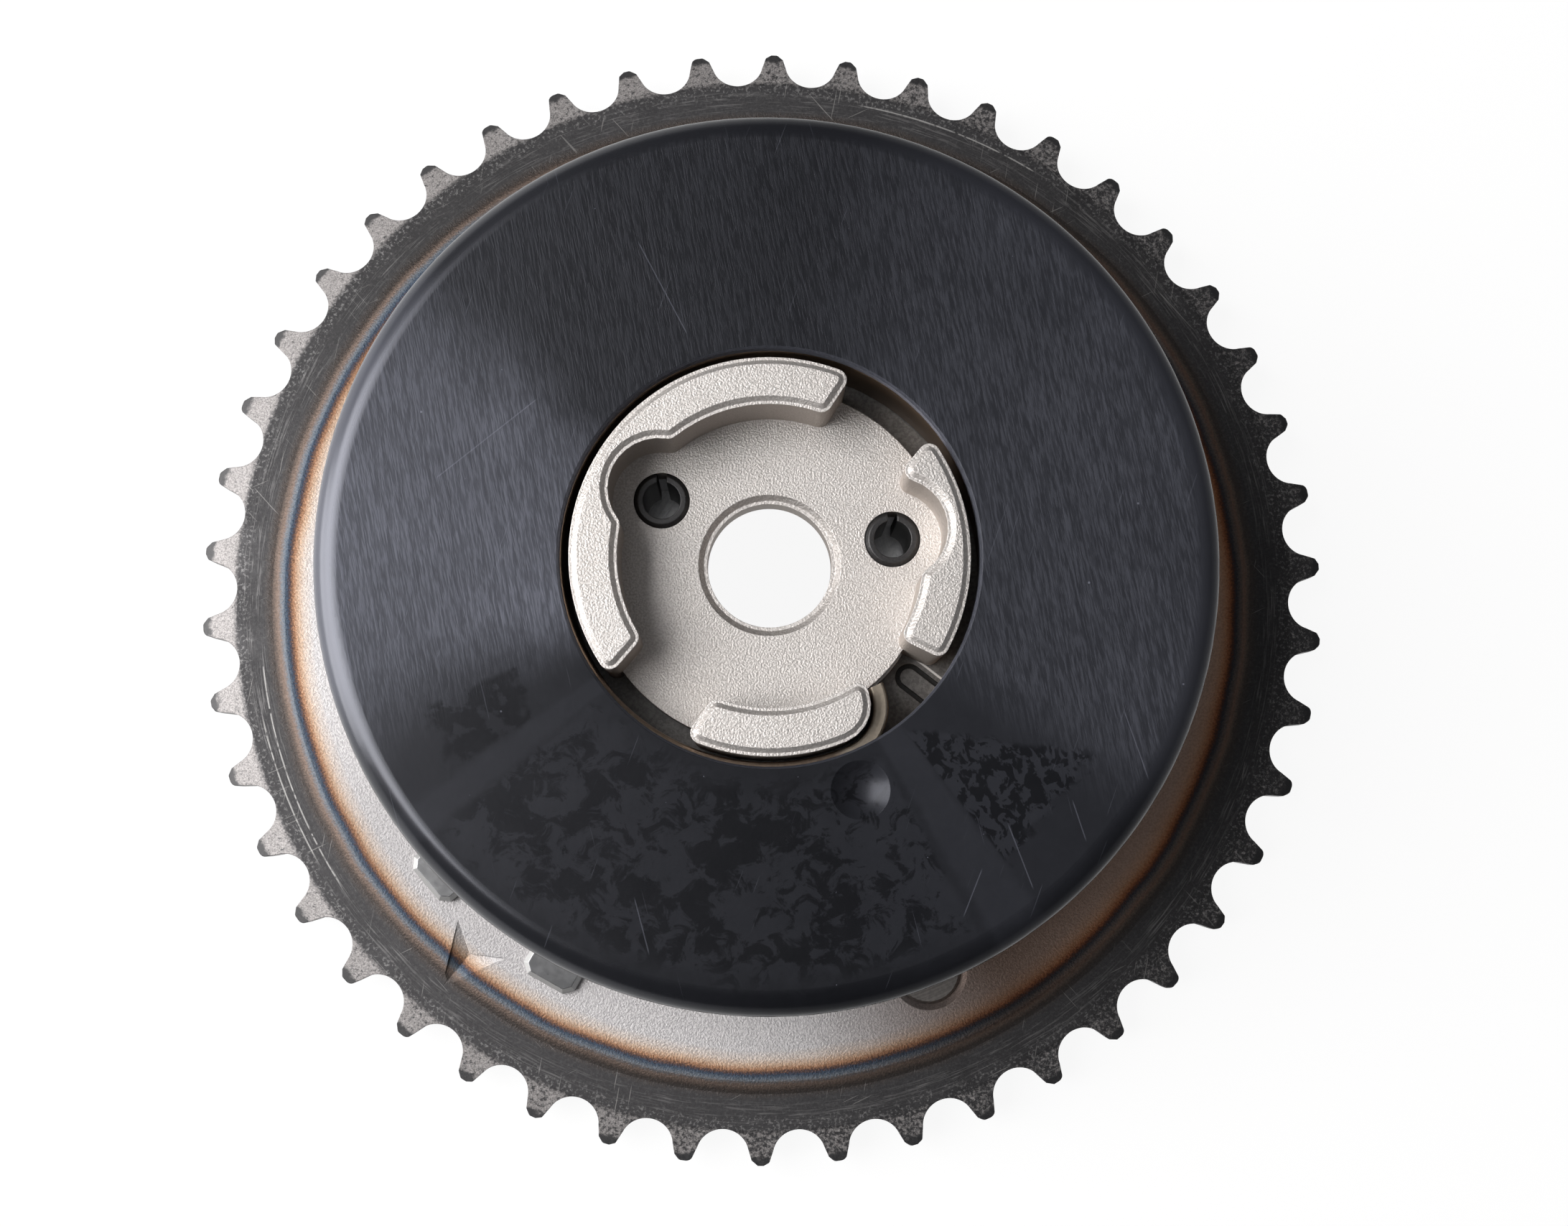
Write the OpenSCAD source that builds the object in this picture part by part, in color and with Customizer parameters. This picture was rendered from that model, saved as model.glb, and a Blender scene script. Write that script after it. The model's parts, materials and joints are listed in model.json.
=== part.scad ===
// Vane-type cam phaser with a roller-chain sprocket and a spiral bias spring.
// Millimetres. Z is the camshaft axis, with the front face up and z = 0 at the rear face.

/* [Chain sprocket] */
// Number of sprocket teeth
tooth_count = 46; // [44:1:48]
// Pitch of the roller chain
chain_pitch = 9.525; // [9.3:0.025:9.8]
// Diameter of the chain's rollers
roller_d = 6.35; // [6.1:0.05:6.5]
// Play of a roller in its seat
seat_play = 0.1; // [0.02:0.01:0.2]
// Angle between a tooth's flank and the middle of the gap beside it
flank_angle = 21; // [17:0.5:25]
// Angle by which the seat's edge is flatter than the flank
flank_relief = 6; // [4:0.5:9]
// Height of the tooth tips above the pitch circle
tooth_rise = 1.2; // [0.9:0.05:1.4]
// Direction of one tooth tip, counterclockwise from +X
tooth_phase = 3.16; // [0:0.01:7]
// Width of the teeth along the axis
tooth_w = 5.4; // [4.6:0.1:5.8]
// Bevel of the teeth, measured along the axis at the tip
tooth_bevel = 1.1; // [0.6:0.1:1.6]
// Width of the flat ring between the web and the tooth roots
ring_w = 4.4; // [3:0.2:6]
// Thickness of the web
sprocket_t = 8; // [7.5:0.1:10]
// Height of the web's front face above the tooth ring
web_step = 0.6; // [0.2:0.1:1]
// Radial width of the sloping step between web and tooth ring
step_w = 1.6; // [0.8:0.1:2.4]

/* [Timing marks] */
// Direction of the timing dart, counterclockwise from +X
dart_angle = -129.6; // [-135:0.1:-125]
// Length of the dart from tip to wing corners
dart_l = 7.6; // [6:0.1:9]
// Width of the dart across its wings
dart_w = 7.5; // [6:0.1:9]
// Length of the notch between the wings
dart_notch = 2.3; // [1.5:0.1:3]
// Depth of the dart's valley at the notch
dart_depth = 0.8; // [0.4:0.1:1.2]
// How far the dart's tip reaches past the web's edge
dart_reach = 1.1; // [0.5:0.1:2]
// Angle from the dart to the middle of each ground pad
pad_angle = 9.9; // [9:0.1:12]
// Outer radius of the ground pads
pad_r = 55.6; // [54:0.1:56.5]
// Radial length of the ground pads
pad_l = 7.6; // [6:0.1:8.4]
// Width of the ground pads
pad_w = 7.2; // [6:0.1:8]
// Height of the ground pads above the web
pad_h = 1.4; // [0.8:0.1:2]
// Chamfer along the top edges of the pads
pad_bevel = 0.55; // [0.3:0.05:0.7]
// Clipped corner of the pads
pad_clip = 1.1; // [0.6:0.1:1.6]
// Radius of the circle on which the sprocket plug sits
plug_ring_r = 51.2; // [51:0.1:53]
// Direction of the sprocket plug
plug_angle = -67; // [-72:0.5:-60]
// Radius of the sprocket plug
plug_r = 4.1; // [3.5:0.1:4.2]
// Length of the sprocket plug
plug_l = 4.6; // [3:0.1:5]
// Depth of the plug's face below the web
plug_sink = 0.35; // [0.2:0.05:0.6]
// Chamfer round the plug's face
plug_bevel = 0.35; // [0.2:0.05:0.5]
// Chamfer round the plug's hole
plug_chamfer = 0.7; // [0.3:0.1:0.8]

/* [Vane chambers] */
// Outer radius of the stator housing
housing_r = 46.2; // [45:0.1:46.3]
// Radius of the chamber walls
chamber_r = 39; // [38:0.1:41]
// Length of the chambers along the axis
chamber_l = 20; // [18:0.5:24]
// Direction of the first vane at full advance
vane_angle = 100; // [90:1:110]
// Angle that a vane takes up
vane_sweep = 24; // [22:0.5:26]
// Angle that the rotor turns from full advance to full retard
travel = 30; // [24:1:32]
// Angle left between a vane and its stop
stop_gap = 0.3; // [0.2:0.05:0.6]
// Radius of the rotor between the vanes
hub_r = 24; // [23:0.1:25]
// Radial gap at the vane tips and lobe tips, closed by the seals
tip_gap = 0.3; // [0.2:0.05:0.5]
// Chamfer on the housing's outer edges
housing_chamfer = 0.6; // [0.3:0.1:1]

/* [Rotor] */
// Gap at each side of the rotor
side_gap = 0.04; // [0.02:0.01:0.08]
// Radius of the rear journal that carries the sprocket
rear_journal_r = 20; // [19:0.1:21]
// Radius of the front journal
front_journal_r = 18; // [17.8:0.05:18.2]
// Radial clearance of the journals
journal_gap = 0.03; // [0.02:0.01:0.06]
// Depth of the rotor's rear face inside the sprocket
rotor_inset = 0.8; // [0.4:0.1:1.5]
// Radius of the bolt bore in the spring hub
bolt_r = 7; // [6.5:0.1:7.4]
// Gap round that bore in the rotor, which lets oil past the bolt
bolt_room = 2.4; // [2:0.1:2.6]
// Radius of the socket for the camshaft's nose
nose_r = 15; // [14.4:0.1:16]
// Depth of the camshaft socket
nose_depth = 21; // [19:0.5:22]
// Radius of the camshaft dowel hole
dowel_r = 2; // [1.5:0.1:2]
// Depth of the dowel hole
dowel_depth = 4; // [3:0.1:5]
// Radius of the oil drillings
oil_r = 1.1; // [0.8:0.1:1.3]
// Angle from a vane's side to its oil drilling
oil_offset = 5; // [4:0.5:6]

/* [Seals] */
// Width of the seal bars
seal_w = 3; // [2.4:0.1:3.6]
// Radial height of the seal bars
seal_h = 3; // [2.4:0.1:3.4]
// Side play of the seal bars in their slots
seal_play = 0.05; // [0.03:0.01:0.1]
// Running gap at the seal faces
seal_gap = 0.06; // [0.04:0.01:0.1]
// Radial room for the leaf spring under a seal bar
leaf_room = 1.3; // [1:0.1:1.5]
// Thickness of the leaf springs
leaf_t = 0.25; // [0.2:0.05:0.3]
// Play at the ends of the seal bars and leaf springs
leaf_play = 0.1; // [0.05:0.01:0.2]

/* [Lock pin] */
// Radius of the circle on which the lock pin sits
lock_ring_r = 29.6; // [29.4:0.1:29.8]
// Radius of the lock pin
lock_r = 3.7; // [3.4:0.1:3.8]
// Length of the lock pin
lock_l = 10; // [8:0.5:11]
// Wall of the hollow lock pin
lock_wall = 1.1; // [0.9:0.1:1.3]
// Thickness of the lock pin's nose
lock_nose = 3; // [2:0.1:4]
// Height of the pin's nose above the web
lock_lift = 0.25; // [0.2:0.05:0.4]
// Sliding clearance of the lock pin
lock_gap = 0.03; // [0.02:0.01:0.05]
// Wall of the lock bushing
bushing_wall = 1.6; // [1.2:0.1:2]
// Depth of the lock bushing in the web
bushing_l = 5; // [4:0.1:6]
// Clearance of the pin's nose in the bushing
bushing_gap = 0.2; // [0.1:0.05:0.3]
// Thickness of the plug that closes the lock pin's bore
lock_plug_t = 2.4; // [2:0.1:3]
// Wire diameter of the lock pin's spring
lock_wire = 0.7; // [0.5:0.05:0.8]
// Clearance of the lock pin's spring in the hollow pin
lock_coil_gap = 0.2; // [0.1:0.05:0.3]
// Turns of the lock pin's spring
lock_turns = 7; // [5:1:8]

/* [Front plate] */
// Thickness of the front plate
plate_t = 5.3; // [4.6:0.1:6]
// Thickness of the plate's flange under the cover
flange_t = 1.6; // [1.2:0.1:2]
// Direction of the coined slot mark on the plate
slot_angle = -37.8; // [-40:0.1:-36]
// Radius at which the slot mark's inner end is centred
slot_r = 20.1; // [20:0.1:20.6]
// Length of the slot mark
slot_l = 9; // [6:0.5:11]
// Half width of the slot mark
slot_half_w = 1.55; // [1.3:0.05:1.7]
// Width and depth of the coined groove
groove_w = 0.55; // [0.4:0.05:0.7]

/* [Screws] */
// Wall between a lobe's seal slot and its screw hole
screw_land = 2; // [1.4:0.1:2.6]
// Thread radius of the screws
screw_r = 3; // [2.5:0.1:3.2]
// Clearance of the screw shanks in sprocket and housing
screw_gap = 0.2; // [0.1:0.05:0.3]
// Clearance of the thread in the front plate
thread_gap = 0.02; // [0.01:0.01:0.03]
// Radius of the screw heads
head_r = 5; // [4.6:0.1:5.4]
// Height of the screw heads
head_h = 4; // [3.4:0.1:4.2]
// Depth of the screw heads below the rear face
head_sink = 0.6; // [0.4:0.1:1]
// Clearance round the screw heads
head_gap = 0.3; // [0.2:0.05:0.5]
// Half width across the flats of the hexagon socket
socket_half_w = 2.5; // [2:0.1:2.6]
// Depth of the hexagon socket
socket_depth = 2.2; // [1.6:0.1:2.4]

/* [Spring hub] */
// Gap between the spring hub and the front plate
hub_gap = 0.3; // [0.2:0.05:0.5]
// Thickness of the hub's floor
floor_t = 4.1; // [3.6:0.1:5]
// Radius of the hub's floor between the bosses
floor_r = 20.3; // [19.8:0.1:20.8]
// Radius of the floor in the notch for the spring hook
notch_r = 17.7; // [17.4:0.1:18]
// Height of the bosses above the floor
boss_h = 9.1; // [8:0.1:10]
// Outer radius of the bosses
boss_r = 21.8; // [21.4:0.1:22.2]
// Inner radius of the bosses
boss_in_r = 16.6; // [16.2:0.1:16.9]
// Chamfer along the bosses' top edges
boss_bevel = 0.5; // [0.4:0.05:0.6]
// Flat land outside that chamfer
boss_land = 0.35; // [0.2:0.05:0.4]
// Corner radius of the bosses
boss_corner_r = 1.2; // [1.1:0.1:1.4]
// Large corner radius where the spring hook lies
hook_corner_r = 4.2; // [3.6:0.1:4.6]
// Chamfer round the bolt bore
bore_chamfer = 0.6; // [0.4:0.1:0.8]
// Flat land inside that chamfer
bore_land = 0.4; // [0.2:0.05:0.5]

/* [Spring pins] */
// Radius of the circle on which the slotted pins sit
pin_ring_r = 14.15; // [14:0.05:14.3]
// Direction of the left pin
left_pin_angle = 149; // [146:0.5:152]
// Direction of the right pin
right_pin_angle = 12; // [10:0.5:14]
// Outer radius of the slotted pins
pin_r = 3.15; // [3:0.05:3.2]
// Wall of the slotted pins
pin_wall = 1.05; // [0.8:0.05:1.2]
// Width of the slot along the pins
pin_slot_w = 1.1; // [0.8:0.1:1.4]
// Depth of the pins in the rotor
pin_depth = 8; // [6:0.5:10]
// Height of the pins above the hub's floor
pin_proud = 0.3; // [0.2:0.05:0.5]
// Rounding at the ends of the pins
pin_chamfer = 0.45; // [0.3:0.05:0.6]
// Assembly clearance of pins, plugs and bushings in their holes
press_gap = 0.01; // [0.01:0.01:0.02]
// Radius of the scallops round the pins
scallop_r = 5.5; // [5.2:0.1:5.7]

/* [Bias spring] */
// Thickness of the spring strip
strip_t = 1.7; // [1.4:0.1:1.9]
// Gap between the strip and the bosses
strip_gap = 0.45; // [0.3:0.05:0.6]
// Gap between the first two coils
coil_gap = 0.35; // [0.3:0.05:0.6]
// Turns of the spring
spring_turns = 3.5; // [3:0.5:4]
// Gap between the spring and the front plate
spring_lift = 0.3; // [0.3:0.05:0.8]
// Gap between the spring and the cover's dimple
spring_top_gap = 0.6; // [0.4:0.05:1]
// Length of the hook past the corner that it bends round
hook_l = 0.6; // [0.4:0.1:0.8]
// Rounding along the strip's edges
strip_bevel = 0.35; // [0.2:0.05:0.45]
// Radius of the anchor pin
anchor_r = 2.5; // [2.2:0.1:2.8]
// Clearance of the spring's eye on the anchor pin
anchor_gap = 0.1; // [0.05:0.05:0.2]
// Angle of the spring's eye round the anchor pin
eye_sweep = 200; // [170:5:230]
// Gap between the spring's eye and the cover
eye_gap = 0.8; // [0.6:0.1:1.2]
// Depth of the anchor pin in the front plate
anchor_depth = 4; // [3:0.1:4.5]

/* [Cover] */
// Outer radius of the cover
cover_r = 49.7; // [49.4:0.1:51]
// Sheet thickness of the cover
cover_t = 1.5; // [1.2:0.1:1.6]
// Fit of the cover on the front plate
cover_fit = 0.03; // [0.02:0.01:0.05]
// Rounding of the cover's outer edge
cover_round = 3; // [2.4:0.1:4]
// Depth of the cover's face below the boss tops
boss_proud = 0.8; // [0.4:0.1:1.2]
// Radial gap between the bosses and the cover's opening
opening_gap = 1.1; // [0.9:0.05:1.5]
// Chamfer at the edge of the opening
opening_chamfer = 0.25; // [0.2:0.05:0.4]
// Width of the land between the opening and the dimple
dimple_land = 0.85; // [0.5:0.05:2]
// Direction of the dimple
dimple_angle = -69.2; // [-80:0.2:-60]
// Radius of the dimple at the face
dimple_r = 3.2; // [2.8:0.1:3.6]
// Depth of the dimple
dimple_depth = 1; // [0.6:0.1:1.2]

/* [Hidden] */
// Number of vanes and chambers, with one screw and two seals to each
vane_count = 4;

// Round faces use this many steps on screen
$fn = 96;
// Cuts run past the faces that they open
eps = 1;
// Largest distance and angle between points along a round outline
arc_chord = 1.3;
arc_step = 20;
// Steps in one turn of the lock pin's spring, and sides of its wire
turn_steps = 14;
wire_sides = 8;
// Steps in the spring strip's rounded edges, and round the large circles of the leaf springs
round_steps = 3;
bow_steps = 360;

// Heights along the axis
z_web = sprocket_t;
z_ring = z_web - web_step;
z_ring_rear = z_ring - tooth_w;
z_plate = z_web + chamber_l;
z_flange = z_plate + flange_t;
z_plate_front = z_plate + plate_t;
z_hub = z_plate_front + hub_gap;
z_floor = z_hub + floor_t;
z_boss = z_floor + boss_h;
z_cover = z_boss - boss_proud;
z_cover_in = z_cover - cover_t;
z_spring = z_plate_front + spring_lift;
z_spring_top = z_cover_in - dimple_depth - spring_top_gap;
z_nose = rotor_inset + nose_depth;

// Camshaft side of the rotor, with the dowel hole midway across the seat for the camshaft's nose
rotor_bore_r = bolt_r + bolt_room;
dowel_ring_r = (rotor_bore_r + nose_r) / 2;

// Sprocket
pitch_r = chain_pitch / (2 * sin(180 / tooth_count));
seat_r = roller_d / 2 + seat_play;
root_r = pitch_r - seat_r;
tip_r = pitch_r + tooth_rise;
web_r = root_r - ring_w;

// Vanes and lobes
vane_pitch = 360 / vane_count;
vane_r = chamber_r - tip_gap;
lobe_r = hub_r + tip_gap;
chamber_sweep = vane_sweep + travel + 2 * stop_gap;
chamber_start = vane_angle - vane_sweep / 2 - stop_gap;
lobe_angle = chamber_start - (vane_pitch - chamber_sweep) / 2;
rotor_l = chamber_l - 2 * side_gap;
z_rotor = z_web + side_gap;
slot_depth = seal_h + leaf_room;
vane_seal_r = chamber_r - seal_gap;
lobe_seal_r = hub_r + seal_gap;
screw_ring_r = lobe_seal_r + slot_depth + screw_land + screw_gap + screw_r;

// Cover, plate and spring
plate_r = cover_r - cover_t - cover_fit;
opening_r = boss_r + opening_gap;
dimple_ring_r = opening_r + opening_chamfer + dimple_land + dimple_r;
anchor_ring_r = cover_r - cover_t - eye_gap - strip_t - anchor_gap - anchor_r;
eye_r = anchor_r + anchor_gap + strip_t / 2;
coil_start_r = boss_r + strip_gap + strip_t / 2;
coil_end_r = anchor_ring_r - eye_r;
coil_pitch = strip_t + coil_gap;
coil_growth = ((coil_end_r - coil_start_r) / spring_turns - coil_pitch) / (spring_turns - 1);

// Bosses of the spring hub: start angle, start lean, end angle, end lean
boss_mid_r = (boss_r + boss_in_r) / 2;
left_boss = [66.9, 10, 215.4, 14];
right_boss = [-32.1, -6, 35, 15];
hook_boss = [-113.7, 12, -55.4, -15];
// Angle by which the notch runs under the bosses beside it
notch_lap = 3;
// Rough angle from a pin to the corners beside its scallop
scallop_side = 20;
notch_start = hook_boss[2] - notch_lap;
notch_sweep = right_boss[0] - hook_boss[2] + 2 * notch_lap;
left_pin = polar(pin_ring_r, left_pin_angle);
right_pin = polar(pin_ring_r, right_pin_angle);

// Directions of the lobes and vanes, counted from 0
function lobe_at(k) = lobe_angle + k * vane_pitch;
function vane_at(k) = vane_angle + k * vane_pitch;

function polar(r, a) = [r * cos(a), r * sin(a)];
function direction(v) = atan2(v[1], v[0]);
function turn_between(a0, a1) = (a1 - a0) - 360 * floor((a1 - a0) / 360);
function nearer(p, q, hint) = norm(p - hint) < norm(q - hint) ? p : q;

// An outline is a loop of rims and edges with a rounded corner between each two.
// A rim is a circle, with side 1 where the material is inside it and -1 where it is outside.
// An edge is a straight line, given by its outward direction and a point on it.
function rim(centre, r, side) = ["rim", centre, r, side];
function edge(a, point) = ["edge", polar(1, a), polar(1, a) * point];

function on_line(normal, d, c, r, hint) =
    let (foot = c + normal * (d - normal * c))
    let (along = [-normal[1], normal[0]] * sqrt(max(0, r * r - pow(d - normal * c, 2))))
    nearer(foot + along, foot - along, hint);
function on_circles(c1, r1, c2, r2, hint) =
    let (gap = norm(c2 - c1), d = (gap * gap + r1 * r1 - r2 * r2) / (2 * gap))
    on_line((c2 - c1) / gap, (c2 - c1) * c1 / gap + d, c1, r1, hint);
function corner(f, g, r, hint) =
    f[0] == "edge" ? on_line(f[1], f[2] - r, g[1], g[2] - g[3] * r, hint)
    : g[0] == "edge" ? on_line(g[1], g[2] - r, f[1], f[2] - f[3] * r, hint)
    : on_circles(f[1], f[2] - f[3] * r, g[1], g[2] - g[3] * r, hint);
function touch(f, c) =
    f[0] == "edge" ? c + f[1] * (f[2] - f[1] * c)
    : f[1] + (c - f[1]) * f[2] / norm(c - f[1]);
function arc(c, p, q, side, inner) =
    let (a = direction(p - c), r = norm(p - c))
    let (sweep = side > 0 ? turn_between(a, direction(q - c)) : -turn_between(direction(q - c), a))
    let (n = max(2, ceil(abs(sweep) / arc_step), ceil(abs(sweep) * PI / 180 * r / arc_chord)))
    [for (i = [inner:n - inner]) c + polar(r, a + sweep * i / n)];

// Corners are listed as radius and hint, the first between the first two stretches.
function rounded_loop(parts, corners) =
    let (n = len(parts))
    let (centres = [for (i = [0:n - 1])
        corner(parts[i], parts[(i + 1) % n], corners[i][0], corners[i][1])])
    [for (i = [0:n - 1])
        let (next = parts[(i + 1) % n], leave = touch(next, centres[i]))
        let (arrive = touch(next, centres[(i + 1) % n]))
        each concat(
            arc(centres[i], touch(parts[i], centres[i]), leave, 1, 0),
            next[0] == "rim" ? arc(next[1], leave, arrive, next[3], 1) : []
        )];

// Moves a loop of points inwards by the given depth
function inset(loop, depth) =
    let (n = len(loop))
    [for (i = [0:n - 1])
        let (before = loop[i] - loop[(i + n - 1) % n], after = loop[(i + 1) % n] - loop[i])
        let (u = [before[1], -before[0]] / norm(before), v = [after[1], -after[0]] / norm(after))
        loop[i] - (u + v) * depth / (1 + u * v)];

// Cuts a loop, given by its points and their numbers, into triangles, one corner at a time
function turn_of(u, v) = u[0] * v[1] - u[1] * v[0];
function covers(a, b, c, p) =
    turn_of(b - a, p - a) >= 0 && turn_of(c - b, p - b) >= 0 && turn_of(a - c, p - c) >= 0;
function can_cut(loop, ids, i) =
    let (n = len(ids), before = ids[(i + n - 1) % n], after = ids[(i + 1) % n])
    let (a = loop[before], b = loop[ids[i]], c = loop[after])
    let (others = [for (j = ids) if (j != before && j != ids[i] && j != after) j])
    turn_of(b - a, c - b) > 0 && len([for (j = others) if (covers(a, b, c, loop[j])) j]) == 0;
function next_cut(loop, ids, i) = can_cut(loop, ids, i) ? i : next_cut(loop, ids, i + 1);
function triangles(loop, ids) =
    let (n = len(ids), i = n == 3 ? 1 : next_cut(loop, ids, 0))
    let (cut = [ids[(i + n - 1) % n], ids[i], ids[(i + 1) % n]])
    n == 3 ? [cut] : concat([cut], triangles(loop, [for (j = [0:n - 1]) if (j != i) ids[j]]));

// Joins rings of points into one closed solid. The outlines of its two end faces are flat loops.
module skinned(rings, first_end, last_end) {
    n = len(rings[0]);
    last = len(rings) - 1;
    numbers = [for (i = [0:n - 1]) i];
    sides = [for (k = [0:last - 1], i = [0:n - 1])
        let (a = k * n + i, b = k * n + (i + 1) % n)
        each [[a, a + n, b + n], [a, b + n, b]]];
    first_faces = triangles(first_end, numbers);
    last_faces = [for (t = triangles(last_end, numbers)) [for (i = [2, 1, 0]) last * n + t[i]]];
    polyhedron([for (ring = rings) each ring], concat(first_faces, sides, last_faces), convexity = 10);
}

// Upright prism with a chamfered top edge, and a flat land outside the chamfer where one is given
module bevelled_prism(loop, z0, z1, bevel, land) {
    levels = concat(
        [[z0, 0], [z1 - bevel, 0]],
        land > 0 ? [[z1 - bevel, land]] : [],
        [[z1, land + bevel]]
    );
    rings = [for (level = levels) [for (p = inset(loop, level[1])) [p[0], p[1], level[0]]]];
    skinned(rings, loop, inset(loop, land + bevel));
}

// Cylinder along Z at a given place on a circle
module drill(ring_r, a, r, z0, z1) {
    rotate(a) translate([ring_r, 0, z0]) cylinder(r = r, h = z1 - z0);
}

// Sector of a disc, less than half a turn wide
module sector(r, a0, sweep, z0, l) {
    translate([0, 0, z0]) intersection() {
        cylinder(r = r, h = l);
        translate([0, 0, -eps]) linear_extrude(l + 2 * eps)
            polygon([[0, 0], polar(4 * r, a0), polar(4 * r, a0 + sweep)]);
    }
}

// Revolved blank of the sprocket, bevelled where the teeth will be and turned with them
module sprocket_blank() {
    web_out = web_r - step_w;
    rotate(tooth_phase) rotate_extrude() polygon([
        [rear_journal_r + journal_gap, 0],
        [web_out, 0],
        [web_r, z_ring_rear],
        [root_r, z_ring_rear],
        [tip_r, z_ring_rear + tooth_bevel],
        [tip_r, z_ring - tooth_bevel],
        [root_r, z_ring],
        [web_r, z_ring],
        [web_out, z_web],
        [rear_journal_r + journal_gap, z_web]
    ]);
}

// Gap between two teeth: a round roller seat that opens into straight flanks
module tooth_gap(l) {
    flank_x = pitch_r - seat_r * cos(flank_relief) * sin(flank_angle);
    flank_y = seat_r * cos(flank_relief) * cos(flank_angle);
    reach = tip_r - flank_x + eps;
    mouth_y = flank_y + reach * tan(flank_angle);
    translate([pitch_r, 0, 0]) cylinder(r = seat_r, h = l);
    linear_extrude(l) polygon([
        [pitch_r - seat_r / 2, 0], [flank_x, -flank_y], [flank_x + reach, -mouth_y],
        [flank_x + reach, mouth_y], [flank_x, flank_y]
    ]);
}

// Engraved dart with two facets that meet in a valley
module timing_dart() {
    tip_x = web_r + dart_reach;
    wing_x = tip_x - dart_l;
    notch_x = wing_x + dart_notch;
    half_w = dart_w / 2;
    rotate(dart_angle) polyhedron(
        [
            [tip_x, 0, z_ring], [wing_x, -half_w, z_web],
            [notch_x, 0, z_web - dart_depth], [wing_x, half_w, z_web],
            [tip_x, 0, z_web + eps], [wing_x, -half_w, z_web + eps],
            [notch_x, 0, z_web + eps], [wing_x, half_w, z_web + eps]
        ],
        [[0, 2, 1], [0, 3, 2], [1, 2, 6, 5], [2, 3, 7, 6], [3, 0, 4, 7], [0, 1, 5, 4], [4, 5, 6, 7]]
    );
}

// Raised pad with clipped outer corners and a chamfered top
module ground_pad() {
    inner_x = pad_r - pad_l;
    half_w = pad_w / 2;
    loop = [
        [inner_x, -half_w], [pad_r - pad_clip, -half_w], [pad_r, -half_w + pad_clip],
        [pad_r, half_w - pad_clip], [pad_r - pad_clip, half_w], [inner_x, half_w]
    ];
    bevelled_prism(loop, z_web - eps, z_web + pad_h, pad_bevel, 0);
}

module sprocket() {
    color("dimgray") difference() {
        union() {
            difference() {
                sprocket_blank();
                for (k = [0:tooth_count - 1]) rotate((k + 0.5) * 360 / tooth_count + tooth_phase)
                    translate([0, 0, -eps]) tooth_gap(z_web + 2 * eps);
            }
            for (side = [-1, 1]) rotate(dart_angle + side * pad_angle) ground_pad();
        }
        timing_dart();
        drill(plug_ring_r, plug_angle, plug_r, z_web - plug_sink - plug_l, z_web + eps);
        rotate(plug_angle) translate([plug_ring_r, 0, z_web - plug_chamfer])
            cylinder(r1 = plug_r, r2 = plug_r + plug_chamfer + eps, h = plug_chamfer + eps);
        drill(lock_ring_r, vane_angle, lock_r + bushing_gap + bushing_wall, z_web - bushing_l, z_web + eps);
        for (k = [0:vane_count - 1]) {
            drill(screw_ring_r, lobe_at(k), screw_r + screw_gap, -eps, z_web + eps);
            drill(screw_ring_r, lobe_at(k), head_r + head_gap, -eps, head_sink + head_h);
        }
    }
}

module sprocket_plug() {
    z_face = z_web - plug_sink;
    r = plug_r - press_gap;
    color("dimgray") rotate(plug_angle) translate([plug_ring_r, 0, z_face - plug_l]) {
        cylinder(r = r, h = plug_l - plug_bevel);
        translate([0, 0, plug_l - plug_bevel]) cylinder(r1 = r, r2 = r - plug_bevel, h = plug_bevel);
    }
}

module lock_bushing() {
    bore_r = lock_r + bushing_gap;
    color("gray") difference() {
        drill(lock_ring_r, vane_angle, bore_r + bushing_wall - press_gap, z_web - bushing_l, z_web);
        drill(lock_ring_r, vane_angle, bore_r, z_web - bushing_l - eps, z_web + eps);
    }
}

module stator_housing() {
    seal_x = lobe_r - eps;
    color("slategray") difference() {
        rotate_extrude() polygon([
            [lobe_r, z_web],
            [housing_r - housing_chamfer, z_web],
            [housing_r, z_web + housing_chamfer],
            [housing_r, z_plate - housing_chamfer],
            [housing_r - housing_chamfer, z_plate],
            [lobe_r, z_plate]
        ]);
        for (k = [0:vane_count - 1]) {
            sector(chamber_r, chamber_start + k * vane_pitch, chamber_sweep,
                z_web - eps, chamber_l + 2 * eps);
            drill(screw_ring_r, lobe_at(k), screw_r + screw_gap, z_web - eps, z_plate + eps);
            rotate(lobe_at(k)) translate([seal_x, -seal_w / 2 - seal_play, z_web - eps])
                cube([lobe_seal_r + slot_depth - seal_x, seal_w + 2 * seal_play, chamber_l + 2 * eps]);
        }
    }
}

// Racetrack outline of the coined mark, drawn along X
module racetrack(half_w, l) {
    circle(r = half_w);
    translate([l, 0]) circle(r = half_w);
    translate([0, -half_w]) square([l, 2 * half_w]);
}

module front_plate() {
    color("darkslategray") difference() {
        union() {
            translate([0, 0, z_plate]) cylinder(r = plate_r, h = plate_t);
            translate([0, 0, z_plate]) cylinder(r = cover_r, h = flange_t);
        }
        translate([0, 0, z_plate - eps])
            cylinder(r = front_journal_r + journal_gap, h = plate_t + 2 * eps);
        for (k = [0:vane_count - 1])
            drill(screw_ring_r, lobe_at(k), screw_r + thread_gap, z_plate - eps, z_plate_front + eps);
        drill(anchor_ring_r, anchor_angle, anchor_r + press_gap,
            z_plate_front - anchor_depth, z_plate_front + eps);
        rotate(slot_angle) translate([slot_r, 0, z_plate_front - groove_w]) linear_extrude(groove_w + eps)
            difference() {
                racetrack(slot_half_w, slot_l);
                racetrack(slot_half_w - groove_w, slot_l);
            }
    }
}

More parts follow.
